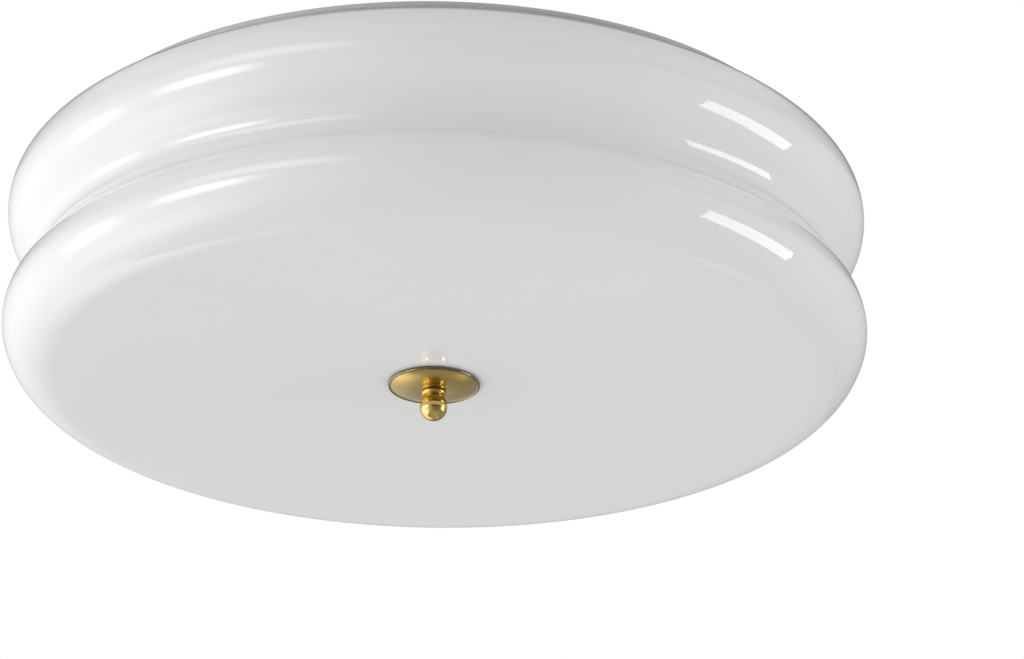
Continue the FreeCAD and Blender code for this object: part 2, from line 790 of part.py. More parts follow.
def make_shell():
    outer = shell_inner_radius + shell_wall
    end = holder_mouth - shell_short
    return turned_on_lamp(polygon([
        lamp_point(holder_floor, shell_inner_radius), lamp_point(holder_floor, outer),
        lamp_point(end, outer), lamp_point(end, shell_inner_radius)]))


def make_contact():
    """The sprung middle contact, a domed disc on the bore's floor."""
    rise = contact_dome
    radius = (contact_radius ** 2 + rise ** 2) / (2 * rise)
    face = holder_floor + contact_thickness
    centre = Vector(face + rise - radius, 0, lamp_z)
    reach = math.degrees(math.asin(contact_radius / radius))
    return turned_on_lamp([
        line(lamp_point(holder_floor, 0), lamp_point(holder_floor, contact_radius)),
        line(lamp_point(holder_floor, contact_radius), lamp_point(face, contact_radius)),
        arc(centre, radius, reach, 0),
        line(lamp_point(face + rise, 0), lamp_point(holder_floor, 0)),
    ])


# Lamp, modelled along +X

housing_start = max(cap_end, holder_mouth + mouth_gap)
globe_start = housing_start + housing_length
globe_base_radius = housing_radius - housing_lip
globe_centre_x = globe_start + math.sqrt(globe_radius ** 2 - globe_base_radius ** 2)
globe_inner_radius = globe_radius - globe_wall
globe_inner_base = math.sqrt(globe_inner_radius ** 2 - (globe_centre_x - globe_start) ** 2)


def make_lamp_cap():
    body = shell_inner_radius - cap_clearance
    return turned_on_lamp(polygon([
        lamp_point(cap_tip, 0), lamp_point(cap_tip, cap_tip_radius),
        lamp_point(cap_tip + cap_tip_height, cap_tip_radius),
        lamp_point(cap_tip + cap_tip_height + cap_cone_length, cap_cone_radius),
        lamp_point(cap_tip + cap_tip_height + cap_cone_length, body),
        lamp_point(housing_start, body), lamp_point(housing_start, 0)]))


def make_lamp_housing():
    """Ribless plastic body that flares from the cap to the globe."""
    flare_start = lamp_point(housing_start + housing_neck_length, housing_neck_radius)
    flare_end = lamp_point(globe_start, housing_radius)
    bow = (flare_end - flare_start).Length * housing_bow_share
    along = (flare_end - flare_start).normalize()
    middle = (flare_start + flare_end) * 0.5 + Vector(along.z, 0, -along.x) * bow
    seat = globe_inner_base - globe_seat_clearance
    return turned_on_lamp([
        line(lamp_point(housing_start, 0), lamp_point(housing_start, housing_neck_radius)),
        line(lamp_point(housing_start, housing_neck_radius), flare_start),
        Part.Arc(flare_start, middle, flare_end).toShape(),
        line(flare_end, lamp_point(globe_start, seat)),
        line(lamp_point(globe_start, seat), lamp_point(globe_start + globe_seat_height, seat)),
        line(lamp_point(globe_start + globe_seat_height, seat),
             lamp_point(globe_start + globe_seat_height, 0)),
        line(lamp_point(globe_start + globe_seat_height, 0), lamp_point(housing_start, 0)),
    ])


def make_lamp_globe():
    """Hollow opal globe that stands on the housing's end."""
    centre = lamp_point(globe_centre_x, 0)
    outer_base = lamp_point(globe_start, globe_base_radius)
    inner_base = lamp_point(globe_start, globe_inner_base)
    return turned_on_lamp([
        line(inner_base, outer_base),
        arc(centre, globe_radius, angle_to(centre, outer_base), 0),
        line(polar(centre, globe_radius, 0), polar(centre, globe_inner_radius, 0)),
        arc(centre, globe_inner_radius, angle_to(centre, inner_base), 0),
    ])


# Leads, grommets and terminal block

def lead_hole(angle):
    a = math.radians(angle)
    return lead_hole_offset * math.cos(a), lead_hole_offset * math.sin(a)


block_face_y = -block_offset + block_depth / 2
block_top_z = floor_top_z + block_height
lead_run_z = floor_top_z + lead_run_height
entry_end_y = block_face_y - block_entry_depth
entry_count = 2 * len(lamp_angles) + 1
block_half_length = entry_count / 2 * block_entry_pitch + block_end_wall


def entry_x(place):
    """The entries count from the left: a pair for each lamp, then the earth."""
    return (place - (entry_count - 1) / 2) * block_entry_pitch


def lead_entry(angle, side):
    """Lamps take their pairs of entries in the order of their holes, left to right."""
    order = sorted(lamp_angles, key=lambda a: lead_hole(a)[0])
    return entry_x(2 * order.index(angle) + (1 if side > 0 else 0))


def lead_points(angle, side):
    """From the holder's floor, in towards the rod, up through the pan, along to the block."""
    a = math.radians(angle)
    out = Vector(math.cos(a), math.sin(a), 0)
    across = Vector(-out.y, out.x, 0)
    if across.x < 0:
        across = across * -1
    spread = (across + Vector(1, 0, 0)).normalize()
    start = out * (holder_floor - lead_end_clearance) + across * (side * lead_half_spacing)
    hole = Vector(*lead_hole(angle), 0) + spread * (side * lead_half_spacing)
    x = lead_entry(angle, side)
    return [Vector(start.x, start.y, lamp_z), Vector(hole.x, hole.y, lamp_z),
            Vector(hole.x, hole.y, lead_run_z),
            Vector(x, block_face_y + lead_straight, lead_run_z),
            Vector(x, entry_end_y, lead_run_z)]


def make_lead(angle, side):
    name = f"Lamp lead at {angle:.0f} degrees, {'right' if side > 0 else 'left'}"
    return lead(name, lead_points(angle, side),
                [lead_lower_bend, lead_upper_bend, lead_fan_bend])


def make_grommet(angle):
    x, y = lead_hole(angle)
    neck = cylinder(grommet_neck_radius, floor_under_z, floor_top_z, x, y)
    low = cylinder(grommet_flange_radius, floor_under_z - grommet_flange_thickness,
                   floor_under_z, x, y)
    high = cylinder(grommet_flange_radius, floor_top_z,
                    floor_top_z + grommet_flange_thickness, x, y)
    bore = cylinder(grommet_bore_radius, floor_under_z - overrun, floor_top_z + overrun, x, y)
    return neck.fuse([low, high]).removeSplitter().cut(bore)


def block_screw_places():
    reach = block_half_length + block_ear_length / 2
    return [-reach, reach]


def supply_places():
    return [i * 2 * block_entry_pitch for i in (-1, 0, 1)]


def make_block():
    """An insulating block with ears, round lamp entries and square supply entries."""
    half = block_half_length
    body = box(-half, half, -block_offset - block_depth / 2, block_face_y,
               floor_top_z, block_top_z)
    upright = [e for e in body.Edges if abs(e.tangentAt(e.FirstParameter).z) > 0.9]
    body = body.makeFillet(block_edge_round, upright)
    reach = half + block_ear_length
    ears = box(-reach, reach, -block_offset - block_ear_depth / 2,
               -block_offset + block_ear_depth / 2, floor_top_z,
               floor_top_z + block_ear_thickness)
    block = body.fuse(ears).removeSplitter()
    entry = lead_radius + block_entry_clearance
    xs = [entry_x(place) for place in range(entry_count)]
    cuts = [Part.makeCylinder(entry, block_entry_depth + overrun,
                              Vector(x, entry_end_y - block_entry_clearance, lead_run_z),
                              Vector(0, 1, 0)) for x in xs]
    back_y = -block_offset - block_depth / 2
    half_width = supply_entry_width / 2
    for x in supply_places():
        cuts.append(box(x - half_width, x + half_width, back_y - overrun,
                        back_y + supply_entry_depth, lead_run_z - supply_entry_height / 2,
                        lead_run_z + supply_entry_height / 2))
        cuts.append(cylinder(supply_well_radius, block_top_z - supply_well_depth,
                             block_top_z + overrun, x, back_y + supply_from_face))
    cuts += [cylinder(block_screw_radius + screw_clearance, floor_top_z - overrun,
                      floor_top_z + overrun, x, -block_offset)
             for x in block_screw_places()]
    for tool in cuts:
        block = block.cut(tool)
    return block


def make_clamp_screws():
    """Slotted screws in the block's wells, one over each supply entry."""
    bottom = block_top_z - supply_well_depth
    y = -block_offset - block_depth / 2 + supply_from_face
    screws = []
    for x in supply_places():
        screw = cylinder(supply_screw_radius, bottom, bottom + supply_screw_height, x, y)
        half = supply_screw_slot / 2
        slot = box(x - supply_screw_radius, x + supply_screw_radius, y - half, y + half,
                   bottom + supply_screw_height / 2, bottom + supply_screw_height + overrun)
        screws.append(screw.cut(slot))
    return screws


def make_block_screws():
    under = floor_top_z + block_ear_thickness
    end = floor_under_z - block_screw_reach
    return [pan_head_screw(block_screw_radius, under, end, x, -block_offset)
            for x in block_screw_places()]


lug_mouth_x = earth_screw_x - earth_lug_radius - earth_barrel_length
earth_lead_z = floor_top_z + earth_barrel_radius


def make_earth_lug():
    """A ring lug whose barrel takes the earth lead."""
    top = floor_top_z + earth_lug_thickness
    plate = cylinder(earth_lug_radius, floor_top_z, top, earth_screw_x, earth_screw_y)
    tongue = box(lug_mouth_x + earth_barrel_length / 2, earth_screw_x,
                 earth_screw_y - earth_barrel_radius, earth_screw_y + earth_barrel_radius,
                 floor_top_z, top)
    barrel = Part.makeCylinder(earth_barrel_radius, earth_barrel_length,
                               Vector(lug_mouth_x, earth_screw_y, earth_lead_z),
                               Vector(1, 0, 0))
    hole = cylinder(earth_screw_radius + screw_clearance, floor_top_z - overrun,
                    top + overrun, earth_screw_x, earth_screw_y)
    bore = Part.makeCylinder(lead_radius + earth_barrel_wall_gap,
                             earth_barrel_length - earth_lug_thickness,
                             Vector(lug_mouth_x, earth_screw_y, earth_lead_z),
                             Vector(1, 0, 0))
    return plate.fuse([tongue, barrel]).cut(hole).cut(bore)


def make_earth_screw():
    under = floor_top_z + earth_lug_thickness
    return pan_head_screw(earth_screw_radius, under, floor_under_z - earth_screw_reach,
                          earth_screw_x, earth_screw_y)


def make_earth_lead():
    """From the block's last entry along the pan and down into the lug's barrel."""
    x = entry_x(entry_count - 1)
    points = [Vector(x, entry_end_y, lead_run_z),
              Vector(x, earth_screw_y, lead_run_z),
              Vector(lug_mouth_x - earth_lead_straight, earth_screw_y, earth_lead_z),
              Vector(lug_mouth_x + earth_barrel_length / 2, earth_screw_y, earth_lead_z)]
    return lead("Earth lead", points, [earth_lead_bend, earth_lead_dip_bend])


# Everything, one file for each named piece

save("shade", make_shade())
save("shade_bush", make_shade_bush())
save("pan", make_pan())
save("rim_gasket", make_rim_gasket())
save("mounting_bar", make_mounting_bar())
save("pan_screws", make_pan_screws())
save("pan_washers", make_pan_washers())
save("bar_nuts", make_bar_nuts())
save("pan_cap_nuts", make_cap_nuts())
save("centre_rod", make_centre_rod())
save("rod_nuts", make_rod_nuts())
save("rod_washers", make_rod_washers())
save("dish_gasket", make_dish_gasket())
save("dish", make_dish())
save("knob", make_knob())

bracket, holder, shell, contact = make_bracket(), make_holder(), make_shell(), make_contact()
cap, housing, globe = make_lamp_cap(), make_lamp_housing(), make_lamp_globe()
for number, angle in enumerate(lamp_angles, 1):
    save(f"holder_bracket_{number}", at_lamp(bracket, angle))
    save(f"lamp_holder_{number}", at_lamp(holder, angle))
    save(f"screw_shell_{number}", at_lamp(shell, angle))
    save(f"lamp_cap_{number}", at_lamp(cap, angle))
    save(f"lamp_housing_{number}", at_lamp(housing, angle))
    save(f"lamp_globe_{number}", at_lamp(globe, angle))
save("centre_contacts", [at_lamp(contact, a) for a in lamp_angles])
save("bracket_rivets", [r for a in lamp_angles for r in make_rivets(a)])
save("holder_screws", [s for a in lamp_angles for s in make_holder_screws(a)])
save("live_leads", [make_lead(a, 1) for a in lamp_angles])
save("neutral_leads", [make_lead(a, -1) for a in lamp_angles])
save("lead_grommets", [make_grommet(a) for a in lamp_angles])
save("terminal_block", make_block())
save("clamp_screws", make_clamp_screws())
save("block_screws", make_block_screws())
save("earth_lead", make_earth_lead())
save("earth_lug", make_earth_lug())
save("earth_screw", make_earth_screw())

knob_tip_z = (dish_under_z - knob_collar_height - knob_neck_length
              - knob_ball_rise - knob_ball_drop)
print(f"Overall: {2 * shade_radius:.1f} mm across, {-knob_tip_z:.1f} mm high")
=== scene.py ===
import bpy
import bmesh
import math
from mathutils import Matrix, Vector


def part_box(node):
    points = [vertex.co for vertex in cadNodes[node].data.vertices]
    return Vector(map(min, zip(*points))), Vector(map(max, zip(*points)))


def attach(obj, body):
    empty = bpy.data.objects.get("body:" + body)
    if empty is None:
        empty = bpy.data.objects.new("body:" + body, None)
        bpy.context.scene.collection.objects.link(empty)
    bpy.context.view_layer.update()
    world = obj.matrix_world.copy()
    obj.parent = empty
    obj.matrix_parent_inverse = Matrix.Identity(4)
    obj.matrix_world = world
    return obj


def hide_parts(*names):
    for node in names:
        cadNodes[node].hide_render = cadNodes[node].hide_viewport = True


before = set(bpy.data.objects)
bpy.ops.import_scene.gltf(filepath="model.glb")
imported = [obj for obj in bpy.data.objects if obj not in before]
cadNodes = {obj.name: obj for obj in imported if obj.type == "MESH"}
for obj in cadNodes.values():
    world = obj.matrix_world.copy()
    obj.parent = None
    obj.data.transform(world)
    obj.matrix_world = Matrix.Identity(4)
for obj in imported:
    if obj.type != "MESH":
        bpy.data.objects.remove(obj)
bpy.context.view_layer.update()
lampAngles = (30.0, 150.0, 270.0)     # degrees round from +X
lampNumbers = (1, 2, 3)
mm = 0.001
samePoint = 1e-4                      # points nearer than this, in mm, are one
onAxis = 1e-6                         # a radius under this, in mm, is on the Z axis


# Outlines and meshes

def onCircle(centre, radius, degrees):
    angle = math.radians(degrees)
    return (centre[0] + radius * math.cos(angle), centre[1] + radius * math.sin(angle))


def arcPoints(centre, radius, start, end, step):
    count = max(2, math.ceil(abs(end - start) / step))
    return [onCircle(centre, radius, start + (end - start) * i / count) for i in range(count + 1)]


def angleTo(a, b):
    return math.degrees(math.atan2(b[1] - a[1], b[0] - a[0])) % 360


def finishMesh(name, mesh, sharpAngle):
    mesh.shade_smooth()
    mesh.set_sharp_from_angle(angle=math.radians(sharpAngle))
    piece = bpy.data.objects.new(name, mesh)
    bpy.context.scene.collection.objects.link(piece)
    return piece


def turnedShape(outline, segments, place=Matrix.Identity(4), thread=None):
    # a closed outline of (radius, height) points in millimetres, turned about the Z axis;
    # a thread takes metal off as it climbs
    clean = []
    for point in outline:
        if not clean or (Vector(point) - Vector(clean[-1])).length > samePoint:
            clean.append(point)
    if (Vector(clean[0]) - Vector(clean[-1])).length < samePoint:
        clean.pop()
    shape = bmesh.new()
    rings = []
    for radius, height in clean:
        if radius < onAxis:
            rings.append([shape.verts.new((0, 0, height * mm))])
            continue
        ring = []
        for i in range(segments):
            turn = 2 * math.pi * i / segments
            out = (radius - threadDepth(thread, height, i / segments)) * mm
            ring.append(shape.verts.new((out * math.cos(turn), out * math.sin(turn), height * mm)))
        rings.append(ring)
    for lower, upper in zip(rings, rings[1:] + rings[:1]):
        for i in range(segments):
            j = (i + 1) % segments
            corners = [lower[i % len(lower)], lower[j % len(lower)],
                       upper[j % len(upper)], upper[i % len(upper)]]
            unique = [v for k, v in enumerate(corners) if v not in corners[:k]]
            if len(unique) > 2:
                shape.faces.new(unique)
    bmesh.ops.recalc_face_normals(shape, faces=shape.faces)
    shape.transform(place)
    return shape


def threadDepth(thread, height, turnShare):
    # how far the thread's flank lies under its crest here, fading out at both ends
    if thread is None or not thread["start"] < height < thread["end"]:
        return 0.0
    fade = min(1.0, (height - thread["start"]) / thread["pitch"],
               (thread["end"] - height) / thread["pitch"])
    wave = 0.5 - 0.5 * math.cos(2 * math.pi * (height / thread["pitch"] - turnShare))
    return thread["depth"] * fade * wave


def threadHeights(thread, steps=8):
    count = math.ceil((thread["end"] - thread["start"]) / thread["pitch"] * steps)
    return [thread["start"] + (thread["end"] - thread["start"]) * i / count for i in range(count + 1)]


def joinShapes(name, shapes, sharpAngle=35.0):
    # several meshes become one piece
    mesh = bpy.data.meshes.new(name)
    whole = bmesh.new()
    for shape in shapes:
        part = bpy.data.meshes.new(name + "Part")
        shape.to_mesh(part)
        shape.free()
        whole.from_mesh(part)
        bpy.data.meshes.remove(part)
    whole.to_mesh(mesh)
    whole.free()
    return finishMesh(name, mesh, sharpAngle)


def turnedPiece(name, outline, segments, place=Matrix.Identity(4), sharpAngle=35.0, thread=None):
    return joinShapes(name, [turnedShape(outline, segments, place, thread)], sharpAngle)


def towardsLamp(degrees, height):
    # turns the Z axis of a piece out along a lamp's axis
    turn = Matrix.Rotation(math.radians(degrees), 4, "Z") @ Matrix.Rotation(math.pi / 2, 4, "Y")
    return Matrix.Translation((0, 0, height * mm)) @ turn


# Node groups

def newGroup(name, inputs, outputs):
    group = bpy.data.node_groups.new(name, "ShaderNodeTree")
    for label, kind, value in inputs:
        socket = group.interface.new_socket(name=label, in_out="INPUT", socket_type="NodeSocket" + kind)
        socket.default_value = value
    for label, kind in outputs:
        group.interface.new_socket(name=label, in_out="OUTPUT", socket_type="NodeSocket" + kind)
    return group, group.nodes.new("NodeGroupInput"), group.nodes.new("NodeGroupOutput")


def fillInputs(tree, node, values):
    # a socket is linked and anything else is set
    for key, value in values.items():
        if isinstance(value, bpy.types.NodeSocket):
            tree.links.new(value, node.inputs[key])
        else:
            node.inputs[key].default_value = value
    return node


def addNode(tree, kind, settings=None, values=None):
    node = tree.nodes.new("ShaderNode" + kind)
    for key, value in (settings or {}).items():
        setattr(node, key, value)
    return fillInputs(tree, node, values or {})


def mathNode(tree, operation, *values):
    return addNode(tree, "Math", {"operation": operation}, dict(enumerate(values))).outputs[0]


def mixColour(tree, factor, first, second):
    return addNode(tree, "Mix", {"data_type": "RGBA"}, {0: factor, 6: first, 7: second}).outputs[2]


def mixValue(tree, factor, first, second):
    return addNode(tree, "Mix", {"data_type": "FLOAT"}, {0: factor, 2: first, 3: second}).outputs[0]


def distanceFromAxis(tree):
    # how far a point is from the Z axis, and its height
    place = addNode(tree, "TexCoord").outputs["Object"]
    parts = addNode(tree, "SeparateXYZ", values={0: place}).outputs
    flat = addNode(tree, "CombineXYZ", values={0: parts[0], 1: parts[1]}).outputs[0]
    return addNode(tree, "VectorMath", {"operation": "LENGTH"}, {0: flat}).outputs["Value"], parts[2]


def makeMottleGroup():
    # soft cloudy change between two colours, with the same mask for roughness
    group, given, out = newGroup(
        "surfaceMottle",
        [("Base Color", "Color", (0.8, 0.8, 0.8, 1)), ("Second Color", "Color", (0.7, 0.7, 0.7, 1)),
         ("Scale", "Float", 40.0), ("Roughness", "Float", 0.4), ("Roughness Spread", "Float", 0.1)],
        [("Color", "Color"), ("Roughness", "Float")])
    place = addNode(group, "TexCoord").outputs["Object"]
    noise = addNode(group, "TexNoise", values={"Vector": place, "Scale": given.outputs["Scale"],
                                               "Detail": 4.0, "Roughness": 0.55})
    mask = addNode(group, "MapRange", values={"Value": noise.outputs[0], "From Min": 0.32,
                                              "From Max": 0.68}).outputs[0]
    colour = mixColour(group, mask, given.outputs["Base Color"], given.outputs["Second Color"])
    spread = mathNode(group, "MULTIPLY_ADD", mask, given.outputs["Roughness Spread"],
                      given.outputs["Roughness"])
    group.links.new(colour, out.inputs["Color"])
    group.links.new(spread, out.inputs["Roughness"])
    return group


def makeTurnedLinesGroup():
    # fine rings round the Z axis that a lathe leaves, uneven in depth
    group, given, out = newGroup(
        "turnedLines",
        [("Rings Per Metre", "Float", 3000.0), ("Unevenness", "Float", 0.5),
         ("Roughness", "Float", 0.3), ("Roughness Spread", "Float", 0.08)],
        [("Height", "Float"), ("Roughness", "Float")])
    broadShare = 0.13                 # broad waves for each fine ring
    travel = mathNode(group, "ADD", *distanceFromAxis(group))
    rings = mathNode(group, "MULTIPLY", travel, given.outputs["Rings Per Metre"])
    coarse = mathNode(group, "MULTIPLY", rings, broadShare)
    fine = addNode(group, "TexNoise", {"noise_dimensions": "1D"},
                   {"W": rings, "Scale": 1.0, "Detail": 2.0})
    broad = addNode(group, "TexNoise", {"noise_dimensions": "1D"},
                    {"W": coarse, "Scale": 1.0, "Detail": 1.0})
    uneven = mathNode(group, "MULTIPLY", broad.outputs[0], given.outputs["Unevenness"])
    height = mathNode(group, "ADD", fine.outputs[0], uneven)
    rough = mathNode(group, "MULTIPLY_ADD", height, given.outputs["Roughness Spread"],
                     given.outputs["Roughness"])
    group.links.new(height, out.inputs["Height"])
    group.links.new(rough, out.inputs["Roughness"])
    return group


def makeGrainGroup():
    # small even bumps of paint, plastic, glaze or rubber
    group, given, out = newGroup(
        "fineGrain",
        [("Scale", "Float", 900.0), ("Detail", "Float", 2.0), ("Stretch", "Vector", (1, 1, 1))],
        [("Height", "Float")])
    place = addNode(group, "TexCoord").outputs["Object"]
    spread = addNode(group, "VectorMath", {"operation": "MULTIPLY"},
                     {0: place, 1: given.outputs["Stretch"]}).outputs[0]
    noise = addNode(group, "TexNoise", values={"Vector": spread, "Scale": given.outputs["Scale"],
                                               "Detail": given.outputs["Detail"]})
    group.links.new(noise.outputs[0], out.inputs["Height"])
    return group


def makeDustGroup():
    # a thin grey film that settles on faces that look up
    group, given, out = newGroup(
        "settledDust",
        [("Color", "Color", (0.8, 0.8, 0.8, 1)), ("Dust Color", "Color", (0.55, 0.53, 0.50, 1)),
         ("Amount", "Float", 0.3), ("Roughness", "Float", 0.3)],
        [("Color", "Color"), ("Roughness", "Float")])
    normal = addNode(group, "NewGeometry").outputs["Normal"]
    upward = addNode(group, "SeparateXYZ", values={0: normal}).outputs[2]
    facing = addNode(group, "MapRange", values={"Value": upward, "From Min": 0.2,
                                                "From Max": 0.9}).outputs[0]
    place = addNode(group, "TexCoord").outputs["Object"]
    patches = addNode(group, "TexNoise", values={"Vector": place, "Scale": 55.0, "Detail": 5.0})
    patchMask = addNode(group, "MapRange", values={"Value": patches.outputs[0], "From Min": 0.35,
                                                   "From Max": 0.75}).outputs[0]
    amount = mathNode(group, "MULTIPLY", mathNode(group, "MULTIPLY", facing, patchMask),
                      given.outputs["Amount"])
    colour = mixColour(group, amount, given.outputs["Color"], given.outputs["Dust Color"])
    dustRoughness = 0.9
    rough = mixValue(group, amount, given.outputs["Roughness"], dustRoughness)
    group.links.new(colour, out.inputs["Color"])
    group.links.new(rough, out.inputs["Roughness"])
    return group


mottleGroup, linesGroup = makeMottleGroup(), makeTurnedLinesGroup()
grainGroup, dustGroup = makeGrainGroup(), makeDustGroup()
print("Node groups ready")


# Materials

def newMaterial(name, values):
    material = bpy.data.materials.new(name)
    material.use_nodes = True
    tree = material.node_tree
    tree.nodes.clear()
    shader = addNode(tree, "BsdfPrincipled", values=values)
    output = addNode(tree, "OutputMaterial")
    tree.links.new(shader.outputs[0], output.inputs[0])
    return material, tree, shader


def placeGroup(tree, group, values):
    node = tree.nodes.new("ShaderNodeGroup")
    node.node_tree = group
    return fillInputs(tree, node, values)


def placeMottle(tree, look):
    return placeGroup(tree, mottleGroup, {
        "Base Color": (*look["color"], 1), "Second Color": (*look["second"], 1),
        "Scale": look["cloudScale"], "Roughness": look["roughness"],
        "Roughness Spread": look["roughnessSpread"]})


def addDust(tree, shader, mottle, amount):
    dust = placeGroup(tree, dustGroup, {"Color": mottle.outputs["Color"], "Amount": amount,
                                        "Roughness": mottle.outputs["Roughness"]})
    tree.links.new(dust.outputs["Color"], shader.inputs["Base Color"])
    tree.links.new(dust.outputs["Roughness"], shader.inputs["Roughness"])


def addBump(tree, shader, height, strength, distance):
    bump = addNode(tree, "Bump", values={"Height": height, "Strength": strength, "Distance": distance})
    tree.links.new(bump.outputs[0], shader.inputs["Normal"])


def coatedMaterial(name, look):
    # colour clouds, grain and dust for every painted, moulded, plated or glazed piece
    material, tree, shader = newMaterial(name, look["shader"])
    addDust(tree, shader, placeMottle(tree, look), look["dust"])
    grain = placeGroup(tree, grainGroup, {"Scale": look["grainScale"], "Detail": look["grainDetail"],
                                          "Stretch": look.get("grainStretch", (1, 1, 1))})
    addBump(tree, shader, grain.outputs["Height"], look["grainStrength"], look["grainDepth"])
    return material


def turnedMetalMaterial(name, look):
    # lathe rings and cloudy tarnish, and a darker band past a given radius where there is one: painted
    # shade for the shadowed outline at the rim
    material, tree, shader = newMaterial(name, look["shader"])
    colour = placeMottle(tree, look).outputs["Color"]
    if "paintedShadeRadius" in look:
        radius = distanceFromAxis(tree)[0]
        paintedShadeEnd = look["paintedShadeRadius"] + look["paintedShadeWidth"]
        edge = addNode(tree, "MapRange", values={"Value": radius, "From Min": look["paintedShadeRadius"] * mm,
                                                 "From Max": paintedShadeEnd * mm}).outputs[0]
        colour = mixColour(tree, edge, colour, (*look["paintedShadeColor"], 1))
    tree.links.new(colour, shader.inputs["Base Color"])
    lines = placeGroup(tree, linesGroup, {
        "Rings Per Metre": look["rings"], "Unevenness": look["unevenness"],
        "Roughness": look["roughness"], "Roughness Spread": look["roughnessSpread"]})
    tree.links.new(lines.outputs["Roughness"], shader.inputs["Roughness"])
    addBump(tree, shader, lines.outputs["Height"], look["lineStrength"], look["lineDepth"])
    return material


looks = {
    # the pan's white paint is written grey, as painted shade for its shaded band under the ceiling
    "whiteSteel": {"color": (0.50, 0.495, 0.485), "second": (0.47, 0.465, 0.455), "cloudScale": 18.0,
                   "roughness": 0.44, "roughnessSpread": 0.05, "dust": 0.25, "grainScale": 1400.0,
                   "grainDetail": 2.0, "grainStrength": 0.25, "grainDepth": 0.0002,
                   "shader": {"Coat Weight": 0.1, "Coat Roughness": 0.12}},
    "zincSteel": {"color": (0.62, 0.63, 0.65), "second": (0.52, 0.53, 0.55), "cloudScale": 160.0,
                  "roughness": 0.26, "roughnessSpread": 0.16, "dust": 0.20, "grainScale": 500.0,
                  "grainDetail": 3.0, "grainStretch": (1.0, 14.0, 14.0), "grainStrength": 0.18,
                  "grainDepth": 0.0001, "shader": {"Metallic": 1.0}},
    "tinnedMetal": {"color": (0.74, 0.74, 0.73), "second": (0.66, 0.66, 0.65), "cloudScale": 300.0,
                    "roughness": 0.24, "roughnessSpread": 0.10, "dust": 0.1, "grainScale": 900.0,
                    "grainDetail": 2.0, "grainStrength": 0.12, "grainDepth": 0.0001,
                    "shader": {"Metallic": 1.0}},
    "paleSilicone": {"color": (0.72, 0.72, 0.70), "second": (0.66, 0.66, 0.64), "cloudScale": 60.0,
                     "roughness": 0.62, "roughnessSpread": 0.12, "dust": 0.2, "grainScale": 1600.0,
                     "grainDetail": 2.0, "grainStrength": 0.2, "grainDepth": 0.0002,
                     "shader": {"Subsurface Weight": 0.1, "Subsurface Radius": (0.004, 0.004, 0.004)}},
    "blackRubber": {"color": (0.030, 0.030, 0.031), "second": (0.05, 0.05, 0.05), "cloudScale": 120.0,
                    "roughness": 0.58, "roughnessSpread": 0.14, "dust": 0.35, "grainScale": 1500.0,
                    "grainDetail": 2.0, "grainStrength": 0.3, "grainDepth": 0.0002, "shader": {}},
    "porcelain": {"color": (0.83, 0.82, 0.77), "second": (0.79, 0.77, 0.72), "cloudScale": 70.0,
                  "roughness": 0.10, "roughnessSpread": 0.06, "dust": 0.2, "grainScale": 260.0,
                  "grainDetail": 1.0, "grainStrength": 0.12, "grainDepth": 0.0004,
                  "shader": {"Coat Weight": 0.4, "Coat Roughness": 0.05}},
    "lampPlastic": {"color": (0.80, 0.80, 0.79), "second": (0.78, 0.78, 0.76), "cloudScale": 40.0,
                    "roughness": 0.38, "roughnessSpread": 0.08, "dust": 0.1, "grainScale": 2200.0,
                    "grainDetail": 2.0, "grainStrength": 0.2, "grainDepth": 0.0001, "shader": {}},
    "lampGlobe": {"color": (0.88, 0.88, 0.86), "second": (0.86, 0.86, 0.83), "cloudScale": 30.0,
                  "roughness": 0.34, "roughnessSpread": 0.06, "dust": 0.1, "grainScale": 3000.0,
                  "grainDetail": 2.0, "grainStrength": 0.15, "grainDepth": 0.0001,
                  "shader": {"Subsurface Weight": 0.2, "Subsurface Radius": (0.006, 0.006, 0.006)}},
    "blockPlastic": {"color": (0.76, 0.74, 0.68), "second": (0.72, 0.70, 0.64), "cloudScale": 90.0,
                     "roughness": 0.40, "roughnessSpread": 0.10, "dust": 0.3, "grainScale": 1800.0,
                     "grainDetail": 2.0, "grainStrength": 0.25, "grainDepth": 0.0001, "shader": {}},
    "brownInsulation": {"color": (0.10, 0.045, 0.022), "second": (0.12, 0.055, 0.028), "cloudScale": 200.0,
                        "roughness": 0.34, "roughnessSpread": 0.12, "dust": 0.15, "grainScale": 2500.0,
                        "grainDetail": 2.0, "grainStrength": 0.2, "grainDepth": 0.0001, "shader": {}},
    "blueInsulation": {"color": (0.030, 0.085, 0.33), "second": (0.04, 0.10, 0.36), "cloudScale": 200.0,
                       "roughness": 0.34, "roughnessSpread": 0.12, "dust": 0.15, "grainScale": 2500.0,
                       "grainDetail": 2.0, "grainStrength": 0.2, "grainDepth": 0.0001, "shader": {}},
    "platedShell": {"color": (0.70, 0.69, 0.66), "second": (0.60, 0.59, 0.56), "cloudScale": 220.0,
                    "roughness": 0.22, "roughnessSpread": 0.12, "dust": 0.1, "grainScale": 700.0,
                    "grainDetail": 2.0, "grainStrength": 0.1, "grainDepth": 0.0001,
                    "shader": {"Metallic": 1.0}},
    "contactBrass": {"color": (0.66, 0.47, 0.20), "second": (0.52, 0.36, 0.15), "cloudScale": 260.0,
                     "roughness": 0.28, "roughnessSpread": 0.14, "dust": 0.1, "grainScale": 900.0,
                     "grainDetail": 2.0, "grainStrength": 0.12, "grainDepth": 0.0001,
                     "shader": {"Metallic": 1.0}},
}
materials = {name: coatedMaterial(name, look) for name, look in looks.items()}

